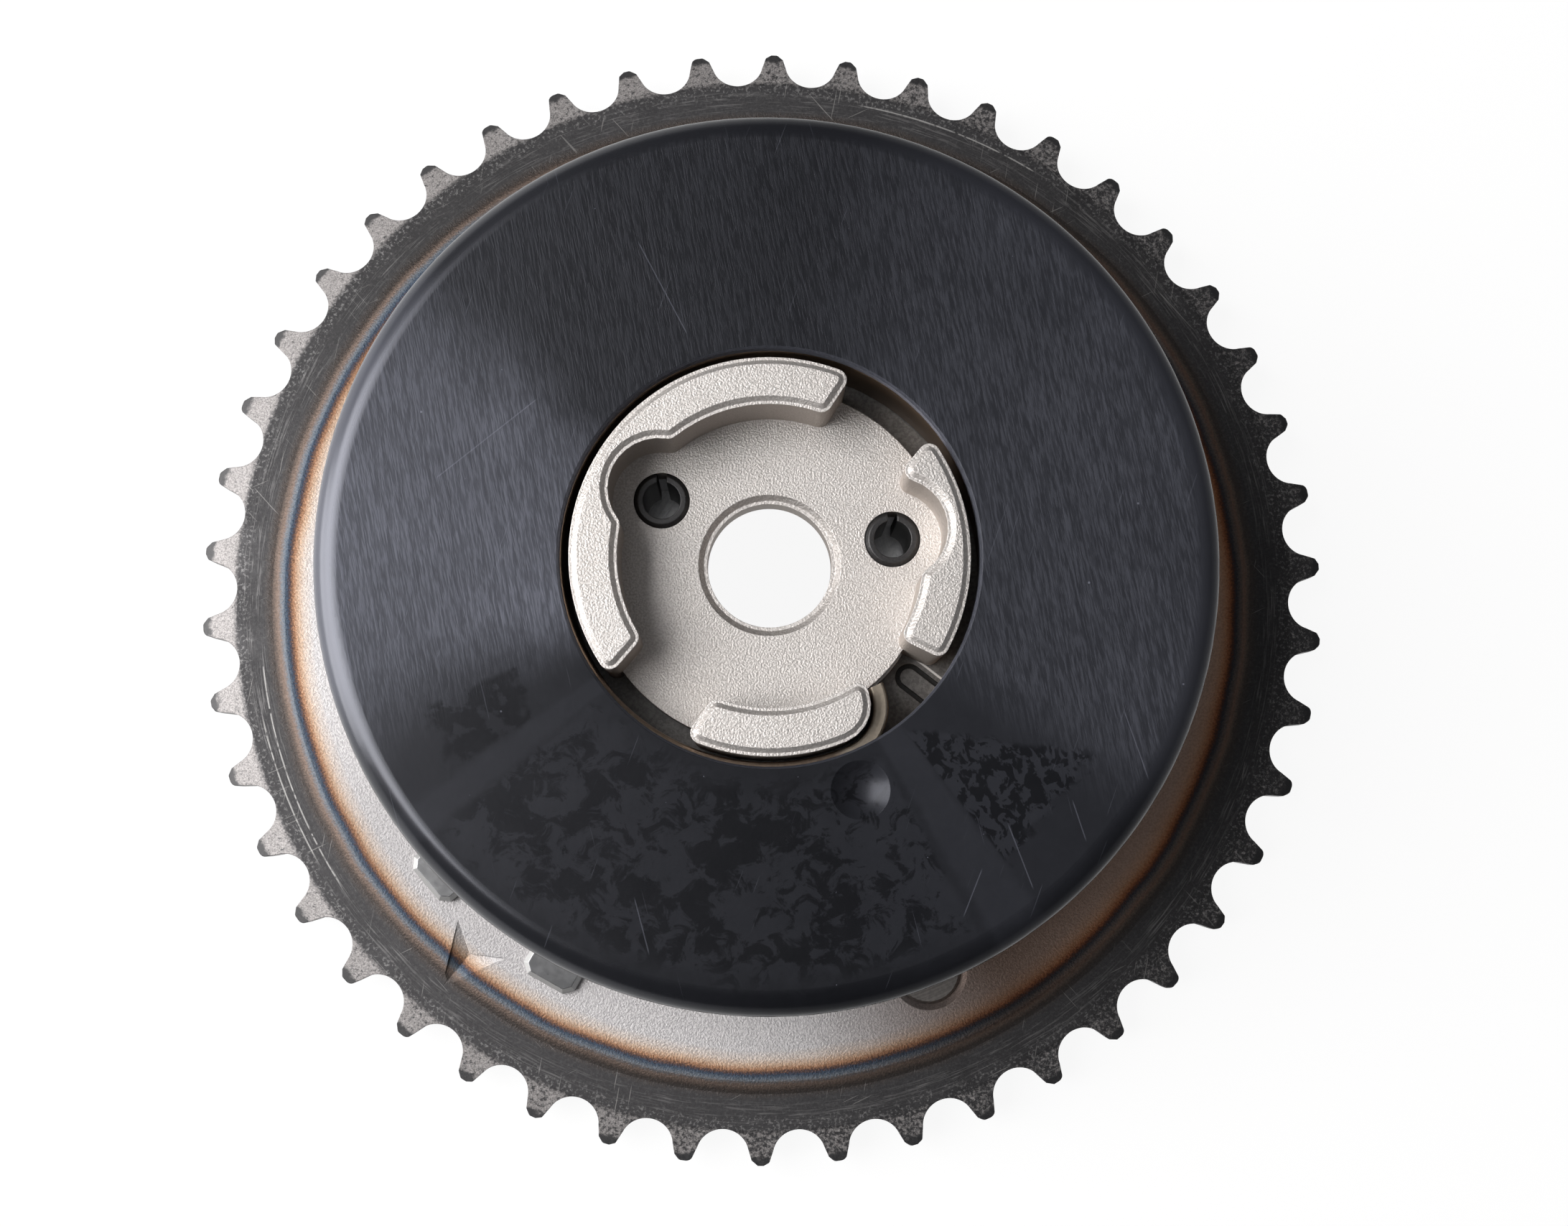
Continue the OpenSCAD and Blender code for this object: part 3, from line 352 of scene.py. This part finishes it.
def tinted_sprocket():
    """Blasted web, a heat tint round its edge, a dark hardened tooth ring and worn teeth."""
    g = Graph("heat_tinted_steel")
    wander = g.sway(0.9, 0.10)
    sand = g.sway(1.1, 4.0, 2.0, 0.7)
    across = g.math("DIVIDE", g.x, g.r)
    along = g.math("DIVIDE", g.y, g.r)
    front = g.most(g.mul(along, -1.0), 0.0)

    # The tint lies further in at the bottom and furthest at the right
    inward = g.add(g.add(0.36, g.mul(front, 0.4)), g.mul(g.step(across, 0.25, 0.8), 0.45))
    r = g.add(g.add(g.r, inward), g.add(wander, sand))
    span = TINT_HIGH - TINT_LOW
    tint = g.ramp(
        g.math("DIVIDE", g.sub(r, TINT_LOW), span, clamp=True),
        [((radius - TINT_LOW) / span, colour) for radius, colour in TINT],
    )

    # Painted shade: the web is darker towards the left, and darker and browner at the right,
    # where a real heat tint adds some of the brown
    web = g.step(r, *WEB_END)
    tone = g.add(g.mul(g.step(across, -0.8, 0.0), 0.30), g.mul(g.step(across, -0.86, -1.0), 0.25))
    tone = g.add(0.90, tone)
    side_shaded = g.mix(web, tint, g.times(tint, g.join(tone, tone, tone)))
    # Painted shade of the drum on the right of the web, with some real browning by the heat tint
    warm = g.mul(g.step(g.add(across, g.mul(wander, 0.1)), 0.05, 0.55), g.step(r, *RIGHT_TINT_AND_SHADE_END))
    brown = g.mix(g.step(across, 0.5, 0.85), (0.35, 0.235, 0.175), (1.0, 0.71, 0.55))
    tint = g.mix(g.mul(warm, 0.95), side_shaded, g.times(tint, brown))

    # Painted shade: the tooth ring is darker at the upper left, and has fewer rubs and scratches
    # there
    above = g.mul(g.step(along, 0.2, 0.7), g.step(across, -0.2, -0.7))
    lift = g.sub(1.0, g.mul(g.mul(above, g.step(r, 61.8, 62.6)), 0.35))
    tint = g.times(tint, g.join(lift, lift, lift))
    grain = g.noise(3.6, 3.0, 0.7)
    colour = g.mix(g.step(grain, 0.38, 0.60), g.times(tint, (0.76, 0.76, 0.765)), tint)

    # Rubbed ring between the web and the teeth
    ring = g.step(r, *RING_START)
    around = g.join(g.mul(g.angle, 16.0), g.mul(g.r, 5.5), g.z)
    rubs = g.step(g.noise(1.0, 2.0, 0.6, around), 0.50, 0.68)
    patchy = g.step(g.noise(0.25, 2.0), 0.35, 0.65)
    band = g.between(g.r, *RUBBED_BAND, 0.7)
    share = g.sub(g.add(0.35, g.mul(patchy, 0.5)), g.mul(above, 0.30))
    rubbed = g.mul(g.mul(rubs, band), share)
    colour = g.mix(g.mul(rubbed, 0.7), colour, (0.16, 0.155, 0.155))
    pores = g.step(g.noise(2.6, 3.0, 0.7), 0.52, 0.64)
    near_teeth = g.step(g.add(g.r, g.sway(2.0, 0.5)), 64.6, 65.8)
    pored = g.mul(g.mul(pores, ring), g.add(0.10, g.mul(near_teeth, 0.45)))
    colour = g.mix(pored, colour, (0.20, 0.195, 0.195))
    scratched = g.mul(ring, g.sub(0.35, g.mul(above, 0.26)))
    for turn, seed in ((25.0, 1.0), (-48.0, 2.0), (80.0, 3.0)):
        line = g.scratches(turn, 0.25, 6.0, seed, 0.80)
        colour = g.mix(g.mul(line, scratched), colour, (0.32, 0.31, 0.30))
    for at, slope, start, end in RING_SCRATCHES:
        middle = math.radians((start + end) / 2)
        track = g.sub(g.sub(g.r, at), g.mul(g.sub(g.angle, middle), slope))
        on = g.between(g.mul(g.angle, DEGREES), start, end, 1.0)
        turns = g.join(g.mul(g.angle, 40.0), at, 0.0)
        broken = g.step(g.noise(1.0, 2.0, 0.7, turns), 0.36, 0.48)
        line = g.mul(g.mul(g.step(g.math("ABSOLUTE", track), 0.12, 0.05), on), broken)
        colour = g.mix(g.mul(line, 0.55), colour, (0.42, 0.41, 0.40))

    # Teeth: silver where the chain has worn the bevels and flanks, dark tips; the extra silver
    # towards the left is painted light
    wall = g.step(g.upright, 0.75, 0.55)
    flank = g.mul(wall, g.step(g.r, *FLANK_START))
    # Painted light: more worn silver towards the left and a little towards the top
    share = g.add(0.54, g.add(g.mul(across, -0.26), g.mul(along, 0.06)))
    pits = g.noise(2.2, 4.0, 0.7)
    worn = g.step(g.add(pits, g.mul(g.sub(share, 0.5), 0.45)), 0.42, 0.58)
    bright = g.step(g.noise(5.0, 3.0, 0.7), 0.3, 0.7)
    silver = g.mix(bright, (0.12, 0.112, 0.11), (0.34, 0.32, 0.315))
    uneven = g.add(g.r, g.mul(g.sub(pits, 0.5), 1.6))
    face = g.mul(g.sub(1.0, wall), g.step(uneven, *FACE_START))
    tooth = g.most(flank, face)
    colour = g.mix(g.mul(tooth, g.mul(worn, 0.9)), colour, silver)
    tip = g.step(g.add(g.r, g.sway(1.4, 1.3, 3.0)), *TIP_START)
    colour = g.mix(g.mul(tip, 0.93), colour, (0.020, 0.020, 0.022))

    # Ground pads: dark polished tops inside bright chamfers
    pad = g.mul(g.step(g.z, *PAD_FOOT), g.step(g.z, *CHAMFER_END))
    top = g.step(g.z, *PAD_TOP)
    stained = g.step(g.noise(0.7, 3.0, 0.6), 0.38, 0.66)
    colour = g.mix(top, colour, g.mix(stained, (0.21, 0.21, 0.215), (0.27, 0.27, 0.275)))
    spots = g.mul(g.specks(1.3, 0.16, 0.3), 0.5)
    colour = g.mix(g.mul(top, spots), colour, (0.06, 0.06, 0.06))
    colour = g.mix(pad, colour, (0.44, 0.44, 0.44))

    web_rough = g.add(0.50, g.mul(grain, 0.12))
    rough = g.lerp(ring, web_rough, g.add(0.40, g.mul(g.noise(1.4, 3.0), 0.22)))
    rough = g.lerp(tooth, rough, g.add(0.38, g.mul(pits, 0.2)))
    rough = g.lerp(top, rough, 0.20)
    metal = g.sub(0.88, g.add(g.mul(ring, 0.28), g.mul(tooth, 0.25)))
    metal = g.most(metal, g.most(top, pad))
    height = g.mul(g.mul(grain, g.sub(1.0, ring)), 0.09)
    height = g.add(height, g.mul(g.mul(pits, flank), 0.03))
    height = g.add(height, g.mul(g.mul(rubs, band), 0.012))
    height = g.add(height, g.mul(g.noise(9.0, 1.0), 0.012))
    height = g.mul(height, g.step(g.z, *GRAIN_END))
    return g.finish(colour, rough, metal, g.bump(height, 1.0, 1.0, g.rounded(0.16)))


def black_cover():
    """Black oxide: brushed above and at the sides, smeared below, scratched and dusty, with a
    painted sheen at the left and right and a painted highlight on the left of the rim.
    """
    g = Graph("black_oxide")
    wobble = g.sway(7.0, 0.35, 3.0, 0.6)
    degrees = g.mul(g.angle, DEGREES)
    edge = g.add(degrees, g.mul(wobble, 0.35))
    side = g.math("DIVIDE", g.x, g.r)
    rolled = g.step(g.r, *COVER_RIM)

    # Short brush strokes that lean a little from upright, none on the rim, under a painted sheen
    # that is brightest at the left and weaker at the right
    fine = g.noise(1.0, 2.0, 0.6, g.stretch((5.4, 0.50, 5.4), 11.0))
    coarse = g.noise(1.0, 2.0, 0.6, g.stretch((2.2, 0.14, 2.2), 9.0, (11.0, 3.0, 0.0)))
    stroke = g.add(g.mul(g.step(fine, 0.40, 0.66), 0.7), g.mul(g.step(coarse, 0.40, 0.68), 0.3))
    stroke = g.lerp(rolled, stroke, 0.45)
    drift = g.sway(0.5, 0.05)
    # Painted sheen: lighter on the left and, weaker, on the right
    left = g.step(g.add(side, g.mul(drift, 0.6)), -0.73, -1.02)
    right = g.step(g.add(side, drift), 0.0, 0.95)
    level = g.add(0.0105, g.add(g.mul(left, 0.056), g.mul(right, 0.020)))
    level = g.mul(level, g.add(0.75, g.mul(g.noise(0.07, 2.0), 0.5)))
    brushed = g.mul(level, g.add(0.62, g.mul(stroke, 0.78)))

    # Smears: dark blots in three fields with clean wiped bands between them
    smeared = g.mul(g.step(edge, *SMEARS_START), g.step(edge, *SMEARS_END))
    crowd = g.sway(0.4, 0.10)
    blots = g.step(g.add(g.noise(0.36, 5.0, 0.70, None, 0.7), crowd), 0.46, 0.55)
    drawn_out = g.stretch((1.0, 0.7, 1.0), 25.0, (3.0, 8.0, 0.0))
    shreds = g.step(g.noise(0.85, 3.0, 0.6, drawn_out, 0.5), 0.475, 0.53)
    top_line = g.sub(g.mul(g.y, -1.0), g.mul(g.x, 0.13))
    diagonal = g.sub(g.mul(g.x, 0.764), g.mul(g.y, 0.646))
    right_field = g.step(g.add(top_line, g.mul(wobble, 0.3)), *RIGHT_FIELD_TOP)
    right_field = g.mul(right_field, g.step(g.add(diagonal, wobble), *RIGHT_FIELD_SIDE))
    right_field = g.mul(right_field, g.step(degrees, *RIGHT_FIELD_START))
    left_field = g.between(g.add(g.r, wobble), *LEFT_FIELD_R, 0.8)
    left_field = g.mul(g.between(edge, *LEFT_FIELD, 0.5), left_field)
    low_field = g.between(g.add(g.r, g.mul(wobble, 0.8)), *LOW_FIELD_R, 2.0)
    low_field = g.mul(g.between(edge, *LOW_FIELD, 0.8), low_field)
    dark = g.mul(g.mul(shreds, right_field), 0.85)
    dark = g.most(dark, g.mul(g.step(g.noise(0.3, 4.0, 0.65), 0.42, 0.50), left_field))
    dark = g.most(dark, g.mul(g.mul(blots, low_field), 0.68))
    wiped = g.most(g.between(edge, *WIPED_LEFT, 0.8), g.between(edge, *WIPED_RIGHT, 0.8))
    lower = g.add(g.add(0.0070, g.mul(g.step(side, 0.1, 0.7), 0.0055)), g.mul(wiped, 0.0045))
    lower = g.add(lower, g.mul(g.mul(right_field, g.sub(1.0, shreds)), 0.004))
    lower = g.add(lower, g.mul(g.mul(low_field, g.sub(1.0, blots)), 0.004))
    lower = g.mul(lower, g.add(0.8, g.mul(g.noise(0.5, 4.0, 0.65), 0.4)))
    shade = g.lerp(smeared, brushed, lower)
    shade = g.mul(shade, g.sub(1.0, g.mul(dark, 0.72)))

    # Fine scratches, then those that stand out, and dust
    lines = g.scratches(104.0, 0.22, 9.0, 1.0, 0.83)
    lines = g.most(lines, g.scratches(70.0, 0.22, 6.0, 4.0, 0.835))
    lines = g.mul(lines, 0.25)
    for ends in COVER_SCRATCHES:
        lines = g.most(lines, g.mul(g.segment(*ends, 0.09), 0.5))
    dust = g.most(g.specks(0.22, 0.035, 0.40), g.specks(0.5, 0.04, 0.12, 5.0))
    shade = g.add(shade, g.mul(g.most(lines, dust), 0.07))

    # Bare cut edge of the opening, and the small ring beside the dimple
    cut = g.mul(g.step(g.upright, 0.8, 0.5), g.step(g.r, OPENING + 1.2, OPENING + 0.6))
    shade = g.add(shade, g.mul(cut, g.add(0.05, g.mul(g.noise(3.0, 3.0), 0.10))))
    ring = g.math("ABSOLUTE", g.sub(g.distance_to(*COVER_RING_AT), COVER_RING_R))
    shade = g.mul(shade, g.sub(1.0, g.mul(g.step(ring, 0.22, 0.08), 0.4)))
    colour = g.join(g.mul(shade, 0.95), g.mul(shade, 0.99), g.mul(shade, 1.22))

    brushed_rough = g.add(0.33, g.mul(stroke, 0.08))
    rough = g.lerp(smeared, brushed_rough, g.add(0.27, g.mul(g.noise(0.3, 3.0), 0.10)))
    rough = g.sub(rough, g.mul(dark, 0.04))
    rough = g.sub(rough, g.mul(rolled, 0.10))
    height = g.add(g.mul(g.mul(stroke, g.sub(1.0, smeared)), 0.010), g.mul(lines, -0.006))
    height = g.mul(g.add(height, g.mul(g.noise(1.8, 2.0), 0.005)), g.sub(1.0, rolled))
    # Painted highlight: the rounded rim reflects strongly on the left and weakly at the right and
    # bottom
    rim_painted_highlight = g.lerp(g.step(side, 0.2, -0.8), 0.10, 1.0)
    g.put(g.lerp(rolled, 0.42, rim_painted_highlight), g.shader.inputs["Specular IOR Level"])
    g.shader.inputs["IOR"].default_value = 1.36
    g.shader.inputs["Specular Tint"].default_value = (0.88, 0.90, 1.0, 1.0)
    return g.finish(colour, rough, 0.0, g.bump(height, 1.0, 1.0, g.rounded(0.12)))


def blasted_hub():
    """Pale warm steel with the fine pebbled grain of bead blasting, and painted shade on its
    walls.
    """
    g = Graph("blasted_steel")
    grain = g.noise(4.3, 2.0, 0.55)
    fine = g.noise(9.0, 2.0, 0.6)
    broad = g.noise(0.12, 2.0)
    base = g.mix(broad, (0.60, 0.568, 0.545), (0.62, 0.597, 0.583))
    colour = g.mix(g.step(grain, 0.38, 0.62), g.times(base, (0.80, 0.79, 0.785)), base)
    # Painted shade: the walls are darker and browner than the floor and tops
    wall = g.step(g.upright, 0.6, 0.2)
    colour = g.mix(g.mul(wall, 0.55), colour, (0.40, 0.34, 0.29))
    rough = g.add(0.52, g.mul(fine, 0.12))
    height = g.add(g.mul(grain, 0.10), g.mul(fine, 0.02))
    return g.finish(colour, rough, 1.0, g.bump(height, 1.0, 0.9, g.rounded(0.12)))


def black_pins():
    """Blackened rolled pins with a fine grain and a few bright specks."""
    g = Graph("black_pin_steel")
    grain = g.noise(4.0, 3.0, 0.6)
    colour = g.mix(grain, (0.030, 0.029, 0.030), (0.075, 0.073, 0.074))
    colour = g.mix(g.mul(g.specks(1.6, 0.12, 0.2), 0.5), colour, (0.25, 0.24, 0.23))
    rough = g.add(0.30, g.mul(grain, 0.18))
    return g.finish(colour, rough, 0.85, g.bump(grain, 0.02, 1.0, g.rounded(0.2)))


def bronze_strip():
    """Tempered spring strip, brown on its sides, with a rubbed top edge and a painted highlight
    on it at the hook.
    """
    g = Graph("spring_strip")
    grain = g.noise(1.0, 3.0, 0.6, g.stretch((1.2, 1.2, 6.0)))
    colour = g.mix(grain, (0.17, 0.115, 0.075), (0.30, 0.215, 0.15))
    top = g.step(g.z, *STRIP_TOP)
    mottle = g.noise(2.5, 3.0)
    rubbed = g.mix(mottle, (0.15, 0.112, 0.085), (0.28, 0.22, 0.175))
    colour = g.mix(g.mul(top, 0.8), colour, rubbed)
    # Painted highlight on the top edge at the hook
    hook = g.mul(g.step(g.distance_to(*HOOK_AT), 7.5, 5.5), top)
    bright = g.mix(mottle, (0.46, 0.39, 0.31), (0.66, 0.58, 0.48))
    colour = g.mix(g.mul(hook, 0.8), colour, bright)
    rough = g.add(0.30, g.mul(grain, 0.2))
    height = g.add(g.mul(grain, 0.02), g.mul(g.noise(6.0, 2.0), 0.01))
    return g.finish(colour, rough, 1.0, g.bump(height, 1.0))


def plain_steel(name, dark, light, rough, streak, lines_turn=None):
    """Machined or phosphated steel: two close tones, tool marks round the axis, a fine grain."""
    g = Graph(name)
    grain = g.noise(2.2, 4.0, 0.65)
    around = g.join(g.mul(g.angle, 1.5), g.mul(g.r, streak), g.mul(g.z, streak))
    turned = g.noise(1.0, 2.0, 0.5, around)
    tone = g.add(g.mul(grain, 0.55), g.mul(turned, 0.45))
    colour = g.mix(g.step(tone, 0.34, 0.66), dark, light)
    if lines_turn is not None:
        line = g.scratches(lines_turn, 0.3, 7.0, 2.0, 0.77)
        lighter = tuple(min(1.0, c * 1.9 + 0.06) for c in light)
        colour = g.mix(g.mul(line, 0.25), colour, lighter)
    roughness = g.add(rough - 0.07, g.mul(turned, 0.14))
    height = g.add(g.mul(turned, 0.012), g.mul(grain, 0.010))
    return g.finish(colour, roughness, 1.0, g.bump(height, 1.0, 1.0, g.rounded(0.1)))


def coined_plate():
    """Dark plate, with painted shade in the coined groove and a painted highlight along one edge
    beside it.
    """
    g = Graph("charcoal_steel")
    grain = g.noise(2.6, 4.0, 0.65)
    colour = g.mix(g.step(grain, 0.34, 0.66), (0.10, 0.097, 0.095), (0.16, 0.155, 0.152))
    # Painted shade in the coined groove
    deep = g.step(g.z, *(PLATE_FRONT - depth for depth in GROOVE_DEPTH))
    groove = g.mul(deep, g.step(g.r, *GROOVE_RADIUS))
    colour = g.mix(g.mul(groove, 0.9), colour, (0.012, 0.012, 0.012))
    # Painted highlight along one edge beside the groove
    bright = g.segment(*GROOVE_HIGHLIGHT, 0.17)
    colour = g.mix(g.mul(bright, 0.85), colour, (0.75, 0.74, 0.72))
    rough = g.add(0.38, g.mul(grain, 0.14))
    height = g.add(g.mul(grain, 0.012), g.mul(g.noise(7.0, 2.0), 0.006))
    return g.finish(colour, rough, 0.8, g.bump(height, 1.0, 1.0, g.rounded(0.1)))


def seal_bars():
    """Dark moulded seal bars with a faint matt grain."""
    g = Graph("seal_polymer")
    grain = g.noise(3.0, 3.0, 0.6)
    colour = g.mix(grain, (0.035, 0.034, 0.033), (0.065, 0.063, 0.060))
    return g.finish(colour, g.add(0.45, g.mul(grain, 0.15)), 0.0, g.bump(grain, 0.02))


# Plain steels: two tones, roughness, streaks per millimetre and direction of fine scratches
PLAIN_STEELS = {
    "dark_steel": ((0.19, 0.175, 0.165), (0.28, 0.26, 0.245), 0.40, 5.0, 30.0),
    "ground_steel": ((0.46, 0.46, 0.47), (0.60, 0.60, 0.60), 0.25, 6.0, 15.0),
    "sintered_steel": ((0.30, 0.295, 0.29), (0.44, 0.43, 0.42), 0.38, 3.0, 55.0),
    "screw_steel": ((0.07, 0.07, 0.075), (0.13, 0.13, 0.13), 0.42, 4.0),
    "rotor_steel": ((0.40, 0.40, 0.41), (0.54, 0.54, 0.54), 0.30, 4.0, 70.0),
    "spring_wire": ((0.44, 0.44, 0.44), (0.58, 0.58, 0.57), 0.28, 8.0),
}
finishes = {
    "heat_tinted_steel": tinted_sprocket(),
    "black_oxide": black_cover(),
    "blasted_steel": blasted_hub(),
    "black_pin_steel": black_pins(),
    "spring_strip": bronze_strip(),
    "charcoal_steel": coined_plate(),
    "seal_polymer": seal_bars(),
}
for steel, settings in PLAIN_STEELS.items():
    finishes[steel] = plain_steel(steel, *settings)
for part in frame["record"]["subparts"]:
    mesh = nodes[part["node"]].data
    mesh.materials.clear()
    mesh.materials.append(finishes[part["material_slot"]])


def smooth_copy(name, body, limit, shape=None):
    """A stand-in for a CAD node, with walls shaded smooth and other edges hard above a limit."""
    part = next(p for p in frame["record"]["subparts"] if p["node"] == name)
    bm = bmesh.new()
    bm.from_mesh(nodes[name].data)
    bmesh.ops.remove_doubles(bm, verts=bm.verts, dist=MERGE)
    if shape is not None:
        shape(bm)
    for face in bm.faces:
        face.smooth = True
    for edge in bm.edges:
        walls = all(abs(f.normal.z) < WALL_NORMAL for f in edge.link_faces)
        most = math.radians(WALL_LIMIT if walls else limit)
        edge.smooth = len(edge.link_faces) == 2 and edge.calc_face_angle(0.0) < most
    mesh = bpy.data.meshes.new(name + "_smooth")
    bm.to_mesh(mesh)
    bm.free()
    if "custom_normal" in mesh.attributes:
        mesh.attributes.remove(mesh.attributes["custom_normal"])
    mesh.materials.clear()
    mesh.materials.append(finishes[part["material_slot"]])
    piece = bpy.data.objects.new(name + "_smooth", mesh)
    scene.collection.objects.link(piece)
    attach(piece, body)
    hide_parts(name)
    return piece


def rounded_tips(bm):
    """Rounds the upright edges at the tooth tips, which the chain has worn off."""
    edges = [
        e for e in bm.edges
        if min(math.hypot(*v.co.xy) for v in e.verts) > TIP_RADIUS
        and abs(e.verts[0].co.z - e.verts[1].co.z) > TIP_EDGE
        and e.calc_face_angle(0.0) > math.radians(TIP_ANGLE)
    ]
    bmesh.ops.bevel(
        bm, geom=edges, offset=TIP_ROUNDING, segments=5, profile=0.5, affect="EDGES"
    )


def lock_spring():
    """The lock pin's coil spring, which on the real part shortens against its plug as the pin
    lifts, as a smooth stand-in with a mesh of its own.
    """
    piece = smooth_copy("lock_pin_spring", "rotor", 30.0)
    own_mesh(piece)


smooth_copy("spring_hub", "rotor", 30.0)
smooth_copy("sprocket", "housing", 8.0, rounded_tips)
lock_spring()


def softbox(name, at, width, height, power, colour):
    data = bpy.data.lights.new(name, "AREA")
    data.shape = "RECTANGLE"
    data.size = width
    data.size_y = height
    data.energy = power
    data.color = colour
    lamp = bpy.data.objects.new(name, data)
    scene.collection.objects.link(lamp)
    lamp.location = at
    away = Vector(at) - Vector(LAMP_TARGET)
    lamp.rotation_euler = away.to_track_quat("Z", "Y").to_euler()
    lamp.visible_camera = False


def floor_mesh():
    """A disc with a rim that rises outside its flat middle."""
    bm = bmesh.new()
    rings = []
    turns = [2.0 * math.pi * n / FLOOR_SIDES for n in range(FLOOR_SIDES)]
    for k in range(FLOOR_STEPS + 1):
        out = k / FLOOR_STEPS
        radius = FLOOR_FLAT + (FLOOR_OUTER - FLOOR_FLAT) * out
        height = FLOOR_RISE * out * out
        places = [(radius * math.cos(a), radius * math.sin(a), height) for a in turns]
        rings.append([bm.verts.new(place) for place in places])
    bm.faces.new(rings[0])
    for inner, outer in zip(rings, rings[1:]):
        for n in range(FLOOR_SIDES):
            m = (n + 1) % FLOOR_SIDES
            bm.faces.new((inner[n], outer[n], outer[m], inner[m])).smooth = True
    mesh = bpy.data.meshes.new("floor")
    bm.to_mesh(mesh)
    bm.free()
    return mesh


def floor_paper():
    """Pale paper that looks white to the camera, in reflections and through glass."""
    g = Graph("floor_paper")
    paper = g.mix(g.noise(0.05, 3.0), (0.88, 0.88, 0.88), (0.91, 0.91, 0.91))
    g.finish(paper, 0.9, 0.0)
    lift = g.tree.nodes.new("ShaderNodeEmission")
    lift.inputs["Color"].default_value = (1.0, 1.0, 1.0, 1.0)
    lift.inputs["Strength"].default_value = 1.0
    rays = g.tree.nodes.new("ShaderNodeLightPath")
    seen = g.add(rays.outputs["Is Camera Ray"], rays.outputs["Is Transmission Ray"])
    seen = g.add(seen, rays.outputs["Is Glossy Ray"])
    blend = g.tree.nodes.new("ShaderNodeMixShader")
    g.put(g.mul(g.math("MINIMUM", seen, 1.0), FLOOR_LIFT), blend.inputs[0])
    g.put(g.shader.outputs[0], blend.inputs[1])
    g.put(lift.outputs[0], blend.inputs[2])
    g.put(blend.outputs[0], g.tree.nodes["Material Output"].inputs["Surface"])
    return g.material


def room_light():
    """Even light from all sides, a little weaker on the right."""
    world = bpy.data.worlds.new("room")
    scene.world = world
    world.use_nodes = True
    tree = world.node_tree
    backdrop = tree.nodes["Background"]
    backdrop.inputs["Color"].default_value = ROOM_COLOUR
    coords = tree.nodes.new("ShaderNodeTexCoord")
    split = tree.nodes.new("ShaderNodeSeparateXYZ")
    fall = tree.nodes.new("ShaderNodeMapRange")
    fall.inputs["From Min"].default_value = -1.0
    fall.inputs["From Max"].default_value = ROOM_MIDDLE
    fall.inputs["To Min"].default_value = ROOM_LEFT
    fall.inputs["To Max"].default_value = ROOM_RIGHT
    tree.links.new(coords.outputs["Generated"], split.inputs[0])
    tree.links.new(split.outputs[0], fall.inputs["Value"])
    tree.links.new(fall.outputs["Result"], backdrop.inputs["Strength"])


def studio():
    """Pale floor, two soft lamps on the left, a weak one above and the light of the room."""
    mesh = floor_mesh()
    floor = bpy.data.objects.new("floor", mesh)
    floor.location = (0.0, 0.0, -FLOOR_DROP)
    scene.collection.objects.link(floor)
    mesh.materials.append(floor_paper())
    for lamp in LAMPS:
        softbox(*lamp)
    room_light()


def photo_camera():
    """The photograph's view, with the shift that its framing needs."""
    forward = Vector(FORWARD).normalized()
    right = Vector(SIDEWAYS)
    right = (right - forward * right.dot(forward)).normalized()
    up = right.cross(forward)
    data = bpy.data.cameras.new("camera")
    data.sensor_fit = "HORIZONTAL"
    data.sensor_width = SENSOR_WIDTH
    data.lens = FOCAL / IMAGE_W * SENSOR_WIDTH
    data.shift_x = (IMAGE_W / 2 - PRINCIPAL[0]) / IMAGE_W
    data.shift_y = (PRINCIPAL[1] - IMAGE_H / 2) / IMAGE_W
    data.clip_start = 0.01
    data.clip_end = 20.0
    camera = bpy.data.objects.new("camera", data)
    scene.collection.objects.link(camera)
    turn = Matrix((right, up, -forward)).transposed().to_4x4()
    camera.matrix_world = Matrix.Translation(Vector(CAMERA_AT) * MM) @ turn
    scene.camera = camera


studio()
photo_camera()
